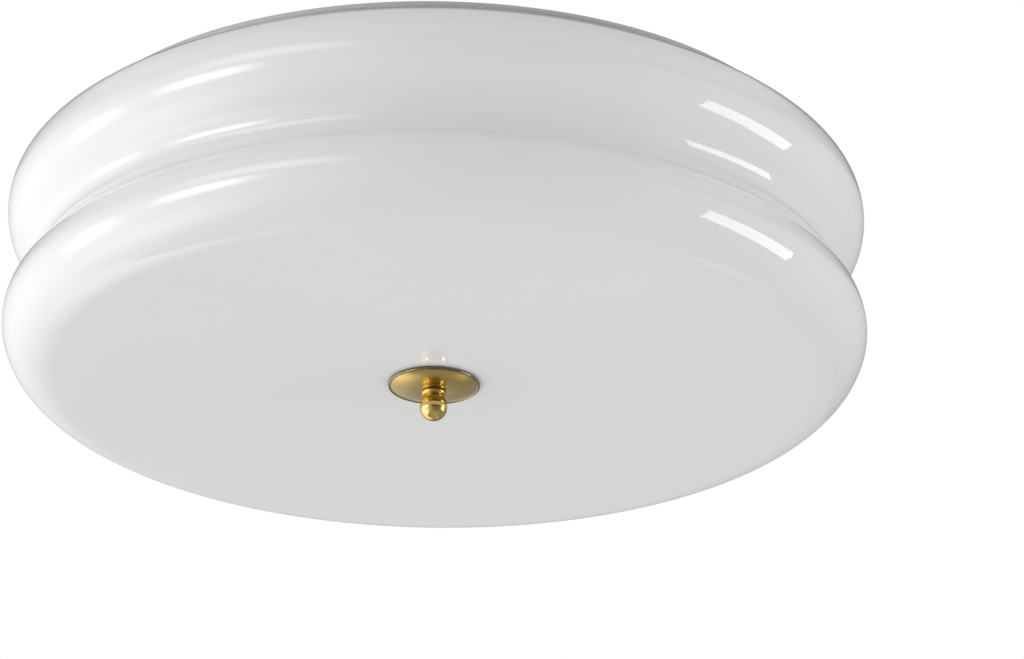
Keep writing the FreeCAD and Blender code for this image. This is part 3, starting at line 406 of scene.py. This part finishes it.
brassLooks = {
    "satinBrass": {"color": (0.60, 0.42, 0.12), "second": (0.52, 0.36, 0.10), "cloudScale": 90.0,
                   # the dark band from 20.05 mm out is painted shade along the dish's rim outline
                   "paintedShadeRadius": 20.05, "paintedShadeWidth": 0.15, "paintedShadeColor": (0.24, 0.17, 0.08),
                   "rings": 4200.0, "unevenness": 0.8, "roughness": 0.15, "roughnessSpread": 0.07,
                   "lineStrength": 0.18, "lineDepth": 0.00008,
                   "shader": {"Metallic": 1.0, "Anisotropic": 0.5, "Anisotropic Rotation": 0.25,
                              "Coat Weight": 0.5, "Coat Roughness": 0.04}},
    "polishedBrass": {"color": (0.72, 0.515, 0.16), "second": (0.64, 0.45, 0.13), "cloudScale": 220.0,
                      "rings": 7000.0, "unevenness": 0.4, "roughness": 0.05, "roughnessSpread": 0.04,
                      "lineStrength": 0.03, "lineDepth": 0.0001,
                      # the dull specular tint darkens grazing reflections: painted shade along the knob's
                      # outline
                      "shader": {"Metallic": 1.0, "Specular Tint": (0.55, 0.47, 0.36, 1),
                                 "Coat Weight": 0.5, "Coat Roughness": 0.03}},
}
materials.update({name: turnedMetalMaterial(name, look) for name, look in brassLooks.items()})

opalLook = {"color": (0.80, 0.80, 0.795), "second": (0.785, 0.785, 0.78), "cloudScale": 7.0,
            "roughness": 0.02, "roughnessSpread": 0.015, "dust": 0.10, "waveScale": 6.0,
            "waveDetail": 1.0, "waveStrength": 0.10, "waveDepth": 0.002, "shader": {"IOR": 1.52}}


def makeOpalMaterial():
    # white right through, with a fire-polished skin that bends reflections a little
    look = opalLook
    material, tree, shader = newMaterial("opalGlass", look["shader"])
    addDust(tree, shader, placeMottle(tree, look), look["dust"])
    waves = placeGroup(tree, grainGroup, {"Scale": look["waveScale"], "Detail": look["waveDetail"]})
    addBump(tree, shader, waves.outputs["Height"], look["waveStrength"], look["waveDepth"])
    return material


earthLook = {"color": (0.10, 0.26, 0.03), "second": (0.12, 0.29, 0.04), "cloudScale": 200.0,
             "roughness": 0.34, "roughnessSpread": 0.12, "stripeColor": (0.70, 0.60, 0.03),
             "stripeSlope": 0.55}


def makeEarthMaterial():
    # green insulation with a yellow stripe along the top of the wire
    look = earthLook
    material, tree, shader = newMaterial("earthInsulation", {})
    mottle = placeMottle(tree, look)
    upward = addNode(tree, "SeparateXYZ", values={0: addNode(tree, "NewGeometry").outputs["Normal"]})
    stripe = mathNode(tree, "GREATER_THAN", upward.outputs[2], look["stripeSlope"])
    colour = mixColour(tree, stripe, mottle.outputs["Color"], (*look["stripeColor"], 1))
    tree.links.new(colour, shader.inputs["Base Color"])
    tree.links.new(mottle.outputs["Roughness"], shader.inputs["Roughness"])
    return material


materials["opalGlass"] = makeOpalMaterial()
materials["earthInsulation"] = makeEarthMaterial()
print("Materials ready:", len(materials))


def dress(piece, material):
    piece.data.materials.clear()
    piece.data.materials.append(materials[material])


def standFor(piece, body, slot, material, *nodes):
    dress(piece, material)
    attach(piece, body)
    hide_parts(*nodes)


# Opal glass shade

shadeForm = {
    "radius": 200.0, "upperRadius": 199.2, "wall": 3.2, "ringPitch": 56.1, "rimHeight": -4.8,
    "upperNose": 24.0, "upperShoulder": 53.4, "upperBelly": 50.0,
    "lowerNose": 19.0, "lowerBelly": 24.9, "groove": 12.8, "rimRoll": 12.0,
    "opening": 162.0, "hole": 6.5,
    "upperShoulderAngle": 50.1, "rimRollAngle": 66.2, "upperBellyAngle": 38.7, "lowerBellyAngle": 15.0,
    "edgeRound": 1.2, "edgeStep": 15, "segments": 320, "arcStep": 3.0,
    "floorRings": (150, 120, 90, 60, 40, 25),
}


def shadeCentres(form):
    # the middles of the arcs that make the two rings and the groove between them
    rise = (form["rimRoll"]
            + (form["upperShoulder"] - form["rimRoll"]) * math.sin(math.radians(form["rimRollAngle"]))
            - (form["upperShoulder"] - form["upperNose"])
            * math.sin(math.radians(form["upperShoulderAngle"])))
    nose = (form["upperRadius"] - form["upperNose"], form["rimHeight"] - rise)
    shoulder = onCircle(nose, form["upperNose"] - form["upperShoulder"], form["upperShoulderAngle"])
    roll = onCircle(shoulder, form["upperShoulder"] - form["rimRoll"], form["rimRollAngle"])
    belly = onCircle(nose, form["upperNose"] - form["upperBelly"], -form["upperBellyAngle"])
    lowNose = (form["radius"] - form["lowerNose"], nose[1] - form["ringPitch"])
    lowBelly = onCircle(lowNose, form["lowerNose"] - form["lowerBelly"], -form["lowerBellyAngle"])
    a, b = form["upperBelly"] + form["groove"], form["lowerNose"] + form["groove"]
    between = Vector(lowNose) - Vector(belly)
    along = (a * a - b * b + between.length_squared) / (2 * between.length)
    across = math.sqrt(a * a - along * along)
    unit = between.normalized()
    groove = Vector(belly) + unit * along + Vector((-unit.y, unit.x)) * across
    return {"nose": nose, "shoulder": shoulder, "roll": roll, "belly": belly, "lowNose": lowNose,
            "lowBelly": lowBelly, "groove": (groove.x, groove.y)}


def shadeSide(form, centres, depth):
    # the bowl's side from the rim down to its flat bottom, this deep under the outer surface
    step = form["arcStep"]
    belly, groove, lowNose = centres["belly"], centres["groove"], centres["lowNose"]
    toBelly = angleTo(belly, groove) - 360
    toNose = angleTo(lowNose, groove)
    return (arcPoints(centres["roll"], form["rimRoll"] - depth, 90, form["rimRollAngle"], step)
            + arcPoints(centres["shoulder"], form["upperShoulder"] - depth, form["rimRollAngle"],
                        form["upperShoulderAngle"], step)
            + arcPoints(centres["nose"], form["upperNose"] - depth, form["upperShoulderAngle"],
                        -form["upperBellyAngle"], step)
            + arcPoints(belly, form["upperBelly"] - depth, -form["upperBellyAngle"], toBelly, step)
            + arcPoints(groove, form["groove"] + depth, angleTo(groove, belly),
                        angleTo(groove, lowNose), step)
            + arcPoints(lowNose, form["lowerNose"] - depth, toNose, -form["lowerBellyAngle"], step)
            + arcPoints(centres["lowBelly"], form["lowerBelly"] - depth, -form["lowerBellyAngle"], -90,
                        step))


def makeShade():
    form = shadeForm
    centres = shadeCentres(form)
    wall, edge, step = form["wall"], form["edgeRound"], form["edgeStep"]
    bottom = centres["lowBelly"][1] - form["lowerBelly"]
    rimTop, opening, hole = form["rimHeight"], form["opening"], form["hole"]
    rimEnd = (arcPoints((opening + edge, rimTop - wall + edge), edge, 270, 180, step)
              + arcPoints((opening + edge, rimTop - edge), edge, 180, 90, step))
    holeEnd = (arcPoints((hole + edge, bottom + edge), edge, 270, 180, step)
               + arcPoints((hole + edge, bottom + wall - edge), edge, 180, 90, step))
    outside = shadeSide(form, centres, 0)
    inside = shadeSide(form, centres, wall)
    # the flat bottom takes a few rings so that shading stays even
    floorOut = [(r, bottom) for r in form["floorRings"]]
    floorIn = [(r, bottom + wall) for r in reversed(form["floorRings"])]
    outline = rimEnd + outside + floorOut + holeEnd + floorIn + inside[::-1]
    shade = turnedPiece("shadeGlass", outline, form["segments"])
    standFor(shade, "shade_set", "opal_glass", "opalGlass", "shade")
    return bottom


shadeBottom = makeShade()
print("Shade ready, bottom at", round(shadeBottom, 3), "mm")


# Brass dish and knob

dishForm = {"gasket": 3.0, "sheet": 1.0, "seat": 7.5, "upperSeat": 9.0, "radius": 21.3, "bead": 0.7,
            "rimGap": 0.4, "beadUnder": 215, "beadOver": 520, "beadStep": 12, "domeStep": 0.6,
            "hole": 3.3, "flat": 5.0, "segments": 160, "sharpAngle": 50.0}
knobForm = {"collar": 5.65, "collarHeight": 2.2, "collarRound": 0.95, "neck": 4.3, "neckLength": 0.4,
            "ball": 6.35, "rise": 5.5, "drop": 6.3, "bore": 3.05, "boreDepth": 9.5, "segments": 96,
            "roundStep": 9, "ballSteps": 18, "sharpAngle": 40.0}


def makeDish():
    form = dishForm
    top = shadeBottom - form["gasket"]
    under = top - form["sheet"]
    bead = (form["radius"] - form["bead"], shadeBottom - form["rimGap"] - form["bead"])
    rim = arcPoints(bead, form["bead"], form["beadUnder"], form["beadOver"], form["beadStep"])

    def dome(start, end):
        # an arc that leaves the start level and rises to the end
        chord = Vector(end) - Vector(start)
        rise = math.atan2(chord.y, chord.x)
        radius = chord.length / 2 / math.sin(rise)
        return arcPoints((start[0], start[1] + radius), radius, -90, math.degrees(2 * rise) - 90,
                         form["domeStep"])

    lower = dome((form["seat"], under), rim[0])
    upper = dome((form["upperSeat"], top), rim[-1])
    outline = ([(form["hole"], under), (form["flat"], under)] + lower + rim + upper[::-1]
               + [(form["hole"], top)])
    dish = turnedPiece("brassDish", outline, form["segments"], sharpAngle=form["sharpAngle"])
    standFor(dish, "dish_set", "satin_brass", "satinBrass", "dish")
    return under


def makeKnob():
    form = knobForm
    collarEnd = dishUnder - form["collarHeight"]
    neckEnd = collarEnd - form["neckLength"]
    middle = neckEnd - form["rise"]
    rounding = form["collarRound"]
    side = form["collar"] - rounding
    upperHeight = form["rise"] / math.sqrt(1 - (form["neck"] / form["ball"]) ** 2)
    neckAngle = math.acos(form["neck"] / form["ball"])
    steps = form["ballSteps"]
    # the ball is two half ovals, a taller one cut off at the neck above a lower one
    bud = [(form["ball"] * math.cos(neckAngle * (1 - i / steps)),
            middle + upperHeight * math.sin(neckAngle * (1 - i / steps))) for i in range(steps)]
    bud += [(form["ball"] * math.cos(math.pi / 2 * i / steps),
             middle - form["drop"] * math.sin(math.pi / 2 * i / steps)) for i in range(steps)]
    outline = ([(form["bore"], dishUnder)]
               + arcPoints((side, dishUnder - rounding), rounding, 90, 0, form["roundStep"])
               + arcPoints((side, collarEnd + rounding), rounding, 0, -90, form["roundStep"])
               + [(form["neck"], collarEnd), (form["neck"], neckEnd)] + bud
               + [(0, middle - form["drop"]), (0, dishUnder - form["boreDepth"]),
                  (form["bore"], dishUnder - form["boreDepth"])])
    knob = turnedPiece("brassKnob", outline, form["segments"], sharpAngle=form["sharpAngle"])
    standFor(knob, "knob", "polished_brass", "polishedBrass", "knob")


dishUnder = makeDish()
makeKnob()
print("Dish and knob ready")


# Threaded and slotted metal that the solids leave plain

rodForm = {"radius": 3.0, "chamfer": 0.6, "pitch": 1.0, "depth": 0.45, "segments": 24}
capForm = {"tip": 40.5, "tipRadius": 4.8, "tipHeight": 1.5, "tipDome": 0.7, "insulatorEnd": 46.5,
           "insulatorRadius": 11.5, "shellLip": 12.3, "shellRadius": 13.4, "end": 67.8, "collar": 3.2,
           "tipFlatShare": 0.6, "tipFlatRise": 0.15, "tipShoulder": 0.3, "tipSegments": 48,
           "threadGap": 1.0, "neckDepth": 0.25, "neckRise": 0.6, "collarRise": 1.2,
           "coneFoot": 0.6, "coneStep": 1.2, "coneStepRise": 0.5, "coneRound": 0.5, "coneDrop": 0.6,
           "coneSegments": 64, "pitch": 3.63, "depth": 0.95, "threadSteps": 10, "segments": 72,
           "axisHeight": -60.0}
shellForm = {"start": 38.5, "end": 65.5, "inner": 13.98, "outer": 14.6, "pitch": 3.63, "depth": 0.26,
             "plainStart": 0.5, "plainEnd": 0.8, "threadSteps": 10, "segments": 72}
# shares are of the screw's shank radius
screwForm = {"headHeightShare": 1.2, "headRadiusShare": 1.9, "headRoundShare": 0.7,
             "headDomeShare": 0.06, "threadDepthShare": 0.18, "plainShare": 0.3, "pointShare": 0.75,
             "crossLengthShare": 1.05, "crossWidthShare": 0.24, "crossDepthShare": 0.75,
             "crossOverShare": 0.2, "crossTaper": 0.55, "roundStep": 15, "segments": 28}
screws = {
    # shank radius, pitch and length, then the places of the heads' undersides
    "pan_screws": {"radius": 2.0, "pitch": 0.7, "length": 13.3,
                   "places": [(-86.0, 0, -9.0), (86.0, 0, -9.0)]},
    "block_screws": {"radius": 1.5, "pitch": 0.5, "length": 7.5,
                     "places": [(-23.05, -72.0, -12.0), (23.05, -72.0, -12.0)]},
    "earth_screw": {"radius": 2.0, "pitch": 0.7, "length": 5.8, "places": [(40.0, -46.0, -14.2)]},
    # these two are in each holder: how far out, and how far to the side
    "holder_screws": {"radius": 1.5, "pitch": 0.5, "length": 8.5, "places": [(22.0, -11.0), (22.0, 11.0)]},
}


def makeRod():
    form = rodForm
    low, high = (corner[2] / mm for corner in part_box("centre_rod"))
    edge = form["radius"] - form["chamfer"]
    thread = {"start": low + form["chamfer"], "end": high - form["chamfer"], "pitch": form["pitch"],
              "depth": form["depth"]}
    outline = [(0, low), (edge, low), *[(form["radius"], z) for z in threadHeights(thread)],
               (edge, high), (0, high)]
    rod = turnedPiece("centreRod", outline, form["segments"], thread=thread)
    standFor(rod, "chassis", "zinc_steel", "zincSteel", "centre_rod")


def makeLampCap(number, degrees):
    form = capForm
    place = towardsLamp(degrees, form["axisHeight"])
    tipEnd = form["tip"] + form["tipHeight"]
    threadEnd = form["end"] - form["collar"]
    thread = {"start": form["insulatorEnd"] + form["threadGap"], "end": threadEnd,
              "pitch": form["pitch"], "depth": form["depth"]}
    tip = [(0, form["tip"]), (form["tipRadius"] * form["tipFlatShare"], form["tip"] + form["tipFlatRise"]),
           (form["tipRadius"] - form["tipShoulder"], form["tip"] + form["tipDome"]),
           (form["tipRadius"], tipEnd), (0, tipEnd)]
    skin = [(0, form["insulatorEnd"]), (form["shellLip"], form["insulatorEnd"]),
            *[(form["shellRadius"], z) for z in threadHeights(thread, form["threadSteps"])],
            (form["shellRadius"] - form["neckDepth"], threadEnd + form["neckRise"]),
            (form["shellRadius"], threadEnd + form["collarRise"]),
            (form["shellRadius"], form["end"]), (0, form["end"])]
    cap = joinShapes(f"lampCap{number}", [turnedShape(tip, form["tipSegments"], place),
                                          turnedShape(skin, form["segments"], place, thread)])
    standFor(cap, f"lamp_{number}", "lamp_cap_metal", "tinnedMetal", f"lamp_cap_{number}")
    cone = [(0, tipEnd), (form["tipRadius"] + form["coneFoot"], tipEnd),
            (form["tipRadius"] + form["coneStep"], tipEnd + form["coneStepRise"]),
            (form["insulatorRadius"] - form["coneRound"], form["insulatorEnd"] - form["coneDrop"]),
            (form["insulatorRadius"], form["insulatorEnd"]), (0, form["insulatorEnd"])]
    insulator = turnedPiece(f"lampInsulator{number}", cone, form["coneSegments"], place)
    standFor(insulator, f"lamp_{number}", "lamp_plastic", "lampPlastic", f"lamp_cap_{number}")


def makeScrewShell(number, degrees):
    form = shellForm
    thread = {"start": form["start"] + form["plainStart"], "end": form["end"] - form["plainEnd"],
              "pitch": form["pitch"], "depth": form["depth"]}
    heights = [form["start"], *threadHeights(thread, form["threadSteps"]), form["end"]]
    outline = [(form["inner"], z) for z in heights] + [(form["outer"], z) for z in reversed(heights)]
    shell = turnedPiece(f"screwShell{number}", outline, form["segments"],
                        towardsLamp(degrees, capForm["axisHeight"]), thread=thread)
    standFor(shell, "chassis", "plated_shell", "platedShell", f"screw_shell_{number}")


def crossCutter(radius, top):
    # a tapered cross for the driver
    length, width = radius * screwForm["crossLengthShare"], radius * screwForm["crossWidthShare"]
    corners = [(length, width), (width, width), (width, length), (-width, length), (-width, width),
               (-length, width), (-length, -width), (-width, -width), (-width, -length), (width, -length),
               (width, -width), (length, -width)]
    cutter = bmesh.new()
    taper, depth = screwForm["crossTaper"], radius * screwForm["crossDepthShare"]
    over = top + radius * screwForm["crossOverShare"]
    upper = [cutter.verts.new((x * mm, y * mm, over * mm)) for x, y in corners]
    lower = [cutter.verts.new((x * taper * mm, y * taper * mm, (top - depth) * mm)) for x, y in corners]
    cutter.faces.new(upper)
    cutter.faces.new(lower[::-1])
    for i in range(len(corners)):
        j = (i + 1) % len(corners)
        cutter.faces.new((upper[i], lower[i], lower[j], upper[j]))
    bmesh.ops.recalc_face_normals(cutter, faces=cutter.faces)
    return cutter


def makeScrewMesh(form):
    # one screw, head up, the underside of its head at zero
    radius = form["radius"]
    head, height = radius * screwForm["headRadiusShare"], radius * screwForm["headHeightShare"]
    plain, rounding = radius * screwForm["plainShare"], radius * screwForm["headRoundShare"]
    thread = {"start": -form["length"] + plain, "end": -plain, "pitch": form["pitch"],
              "depth": radius * screwForm["threadDepthShare"]}
    dome = arcPoints((head - rounding, height - rounding), rounding, 0, 90, screwForm["roundStep"])
    outline = [(0, -form["length"]), (radius * screwForm["pointShare"], -form["length"]),
               *[(radius, z) for z in threadHeights(thread)],
               (radius, 0), (head, 0), *dome, (0, height + radius * screwForm["headDomeShare"])]
    body = joinShapes("screwBody", [turnedShape(outline, screwForm["segments"], thread=thread)])
    cutter = joinShapes("screwCross", [crossCutter(radius, height)])
    cut = body.modifiers.new("cross", "BOOLEAN")
    cut.operation, cut.solver, cut.object = "DIFFERENCE", "EXACT", cutter
    seen = bpy.context.evaluated_depsgraph_get()
    mesh = bpy.data.meshes.new_from_object(body.evaluated_get(seen))
    for item in (body, cutter):
        bpy.data.objects.remove(item)
    return mesh


def makeScrews():
    for node, form in screws.items():
        single = makeScrewMesh(form)
        shapes = []
        places = [Matrix.Translation(Vector(place) * mm) for place in form["places"] if len(place) == 3]
        for degrees in lampAngles:
            # heads towards the rod
            for along, side in (place for place in form["places"] if len(place) == 2):
                turn = Matrix.Rotation(math.radians(degrees), 4, "Z")
                tilt = Matrix.Translation(Vector((along, side, capForm["axisHeight"])) * mm)
                places.append(turn @ tilt @ Matrix.Rotation(-math.pi / 2, 4, "Y"))
        for place in places:
            shape = bmesh.new()
            shape.from_mesh(single)
            shape.transform(place)
            shapes.append(shape)
        words = node.split("_")
        piece = joinShapes(words[0] + words[1].capitalize(), shapes)
        standFor(piece, "chassis", "zinc_steel", "zincSteel", node)


makeRod()
for lampNumber, lampAngle in zip(lampNumbers, lampAngles):
    makeLampCap(lampNumber, lampAngle)
    makeScrewShell(lampNumber, lampAngle)
makeScrews()
print("Rod, caps, shells and screws ready")


# Pieces carried over from the solids

carried = {
    "whiteSteel": ["pan"],
    "zincSteel": ["mounting_bar", "bar_nuts", "pan_washers", "pan_cap_nuts", "rod_nuts", "rod_washers",
                  "bracket_rivets", *[f"holder_bracket_{n}" for n in lampNumbers]],
    "tinnedMetal": ["earth_lug"],
    "paleSilicone": ["rim_gasket", "shade_bush", "dish_gasket"],
    "blackRubber": ["lead_grommets"],
    "porcelain": [f"lamp_holder_{n}" for n in lampNumbers],
    "lampPlastic": [f"lamp_housing_{n}" for n in lampNumbers],
    "lampGlobe": [f"lamp_globe_{n}" for n in lampNumbers],
    "blockPlastic": ["terminal_block"],
    "contactBrass": ["centre_contacts", "clamp_screws"],
    "brownInsulation": ["live_leads"],
    "blueInsulation": ["neutral_leads"],
    "earthInsulation": ["earth_lead"],
}
for material, names in carried.items():
    for name in names:
        dress(cadNodes[name], material)
print("Carried pieces dressed")


# Floor, lights and camera

# ambient levels light the object and glossy levels are what mirrors see; the starts and ends are
# how far up the room a level changes, from -1 straight down to 1 straight up
studio = {
    "floorHeight": -2.4, "floorSize": 3.2, "floorColor": (0.55, 0.55, 0.55, 1), "floorRoughness": 0.9,
    "ambientBelow": 1.05, "ambient": 0.69, "ambientAbove": 0.70, "glossy": 0.40, "glossyAbove": 0.04,
    "belowStart": -0.65, "belowEnd": -0.30,
    "duskStart": 0.40, "duskEnd": 0.46, "duskOver": 0.58, "upperEnd": 0.72, "glossyTop": 0.55,
}
# soft-edged patches of the room, placed so that brass and glass mirror what the photograph shows:
# the way to the middle in degrees round from +X and up from level, half the width and height in
# degrees, and what they add to what mirrors see (shine) and to what lights the object (light)
roomPatches = {
    "leftGlow": {"around": 165.0, "above": -14.0, "width": 52.0, "height": 30.0,
                 "shine": 1.3, "light": 1.3},
    "leftStreak": {"around": -151.0, "above": 2.0, "width": 13.0, "height": 7.0,
                   "shine": 8.0, "light": 1.0},
    "leftSoft": {"around": 172.0, "above": -2.0, "width": 10.0, "height": 9.0,
                 "shine": 2.8, "light": 0.3},
    "leftHigh": {"around": -136.0, "above": 26.0, "width": 20.0, "height": 9.0,
                 "shine": 2.6, "light": 0.5},
    "leftLow": {"around": 185.0, "above": -38.0, "width": 22.0, "height": 13.0,
                "shine": 1.3, "light": 0.0},
    "leftBack": {"around": 122.0, "above": -48.0, "width": 13.0, "height": 17.0,
                 "shine": 1.2, "light": 0.0},
    "rightBack": {"around": 63.0, "above": -49.0, "width": 6.0, "height": 9.0,
                  "shine": 0.6, "light": 0.0},
    "darkBack": {"around": 82.0, "above": -15.0, "width": 17.0, "height": 34.0,
                 "shine": -0.22, "light": 0.0},
    "cameraSide": {"around": -75.0, "above": -24.0, "width": 46.0, "height": 24.0, "shine": -0.16,
                   "light": -0.25},
    "cameraLevel": {"around": -75.0, "above": 6.0, "width": 44.0, "height": 16.0,
                    "shine": -0.26, "light": 0.0},
}
lamps = {
    # place, what it points at, width and height, watts
    "rightWindow": {"place": (2.5, -0.21, -0.50), "aim": (0.0, 0.0, -0.06), "size": (1.38, 0.66),
                    "power": 14.3},
}
view = {"place": (0.0, -2.8633, -1.3217), "target": (0.0, 0.0, -0.06), "targetPixel": (435.5, 281.2),
        "image": (1024, 659), "focalPixels": 6735.0, "sensor": 36.0, "roll": 0.87,
        "farLimit": 100.0}


def makeFloor():
    half = studio["floorSize"] / 2
    mesh = bpy.data.meshes.new("studioFloor")
    corners = [(-half, -half), (half, -half), (half, half), (-half, half)]
    mesh.from_pydata([(x, y, studio["floorHeight"]) for x, y in corners], [], [(0, 1, 2, 3)])
    floor = bpy.data.objects.new("studioFloor", mesh)
    bpy.context.scene.collection.objects.link(floor)
    material, tree, shader = newMaterial("floorPaint", {"Base Color": studio["floorColor"],
                                                        "Roughness": studio["floorRoughness"]})
    # a view from under the floor looks through it
    surface = shader.outputs[0].links[0].to_socket
    underneath = addNode(tree, "NewGeometry").outputs["Backfacing"]
    clear = addNode(tree, "BsdfTransparent").outputs[0]
    mixed = addNode(tree, "MixShader", values={0: underneath, 1: shader.outputs[0], 2: clear}).outputs[0]
    tree.links.new(mixed, surface)
    mesh.materials.append(material)


def makePatchGroup():
    # 1 inside a patch of the room and 0 outside, with a soft edge
    group, given, out = newGroup(
        "roomPatch",
        [("Direction", "Vector", (0, 0, 1)), ("Middle", "Vector", (0, 0, 1)),
         ("Across", "Vector", (1, 0, 0)), ("Upward", "Vector", (0, 1, 0)),
         ("Half Width", "Float", 0.2), ("Half Height", "Float", 0.2)],
        [("Amount", "Float")])

    def along(axis):
        return addNode(group, "VectorMath", {"operation": "DOT_PRODUCT"},
                       {0: given.outputs["Direction"], 1: given.outputs[axis]}).outputs["Value"]

    edgePower = 3.0                   # higher is blunter, with a sharper edge

    def falloff(axis, half):
        share = mathNode(group, "DIVIDE", along(axis), given.outputs[half])
        return mathNode(group, "POWER", mathNode(group, "ABSOLUTE", share), edgePower)

    spread = mathNode(group, "ADD", falloff("Across", "Half Width"), falloff("Upward", "Half Height"))
    soft = mathNode(group, "EXPONENT", mathNode(group, "MULTIPLY", spread, -1.0))
    ahead = mathNode(group, "GREATER_THAN", along("Middle"), 0.0)
    group.links.new(mathNode(group, "MULTIPLY", soft, ahead), out.inputs["Amount"])
    return group


def smoothRange(tree, value, start, end):
    return addNode(tree, "MapRange", {"interpolation_type": "SMOOTHSTEP"},
                   {"Value": value, "From Min": start, "From Max": end}).outputs[0]


def makeWorld():
    # camera and see-through rays meet plain white, mirrors meet a darker room with its patches,
    # and everything else is lit by a soft even light with weaker patches
    world = bpy.data.worlds.new("studioWorld")
    bpy.context.scene.world = world
    world.use_nodes = True
    tree = world.node_tree
    tree.nodes.clear()
    direction = addNode(tree, "TexCoord").outputs["Generated"]
    height = addNode(tree, "SeparateXYZ", values={0: direction}).outputs[2]
    above = smoothRange(tree, height, studio["duskStart"], studio["duskEnd"])
    top = smoothRange(tree, height, studio["duskOver"], studio["upperEnd"])
    over = mixValue(tree, top, studio["glossyAbove"], studio["glossyTop"])
    shine = mixValue(tree, above, studio["glossy"], over)
    level = smoothRange(tree, height, studio["belowStart"], studio["belowEnd"])
    low = mixValue(tree, level, studio["ambientBelow"], studio["ambient"])
    light = mixValue(tree, above, low, studio["ambientAbove"])
    group = makePatchGroup()
    for patch in roomPatches.values():
        turn = Matrix.Rotation(math.radians(patch["around"]), 3, "Z") @ Matrix.Rotation(
            math.radians(-patch["above"]), 3, "Y")
        amount = placeGroup(tree, group, {
            "Direction": direction, "Middle": turn.col[0][:], "Across": turn.col[1][:],
            "Upward": turn.col[2][:], "Half Width": math.sin(math.radians(patch["width"])),
            "Half Height": math.sin(math.radians(patch["height"]))}).outputs[0]
        shine = mathNode(tree, "MULTIPLY_ADD", amount, patch["shine"], shine)
        light = mathNode(tree, "MULTIPLY_ADD", amount, patch["light"], light)
    path = addNode(tree, "LightPath").outputs
    seen = mathNode(tree, "MAXIMUM", path["Is Camera Ray"], path["Is Transmission Ray"])
    unseen = mixValue(tree, path["Is Glossy Ray"], light, shine)
    plainWhite = 1.0
    strength = mixValue(tree, seen, unseen, plainWhite)
    background = addNode(tree, "Background", values={"Color": (1, 1, 1, 1), "Strength": strength})
    tree.links.new(background.outputs[0], addNode(tree, "OutputWorld").inputs[0])


def makeLamps():
    for name, lamp in lamps.items():
        data = bpy.data.lights.new(name, "AREA")
        data.shape = "RECTANGLE"
        data.size, data.size_y = lamp["size"]
        data.energy = lamp["power"]
        item = bpy.data.objects.new(name, data)
        item.location = lamp["place"]
        aim = Vector(lamp["aim"]) - Vector(lamp["place"])
        item.rotation_euler = aim.to_track_quat("-Z", "Y").to_euler()
        bpy.context.scene.collection.objects.link(item)


def makeCamera():
    place, target = Vector(view["place"]), Vector(view["target"])
    forward = (target - place).normalized()
    right = forward.cross(Vector((0, 0, 1))).normalized()
    up = right.cross(forward)
    roll = math.radians(view["roll"])
    acrossPixels = view["image"][0] / 2 - view["targetPixel"][0]
    downPixels = view["image"][1] / 2 - view["targetPixel"][1]
    x = math.cos(roll) * acrossPixels + math.sin(roll) * downPixels
    y = math.cos(roll) * downPixels - math.sin(roll) * acrossPixels
    axis = (forward * view["focalPixels"] + right * x - up * y).normalized()
    level = (right - axis * right.dot(axis)).normalized()
    upright = level.cross(axis)
    cameraRight = level * math.cos(roll) + upright * math.sin(roll)
    cameraUp = cameraRight.cross(axis)
    data = bpy.data.cameras.new("studioCamera")
    data.sensor_width = view["sensor"]
    data.lens = view["focalPixels"] / view["image"][0] * view["sensor"]
    data.clip_end = view["farLimit"]
    camera = bpy.data.objects.new("studioCamera", data)
    turn = Matrix((cameraRight, cameraUp, -axis)).transposed().to_4x4()
    camera.matrix_world = Matrix.Translation(place) @ turn
    bpy.context.scene.collection.objects.link(camera)
    bpy.context.scene.camera = camera


makeFloor()
makeWorld()
makeLamps()
makeCamera()
bpy.context.scene.view_settings.view_transform = "Standard"
print("Studio ready")
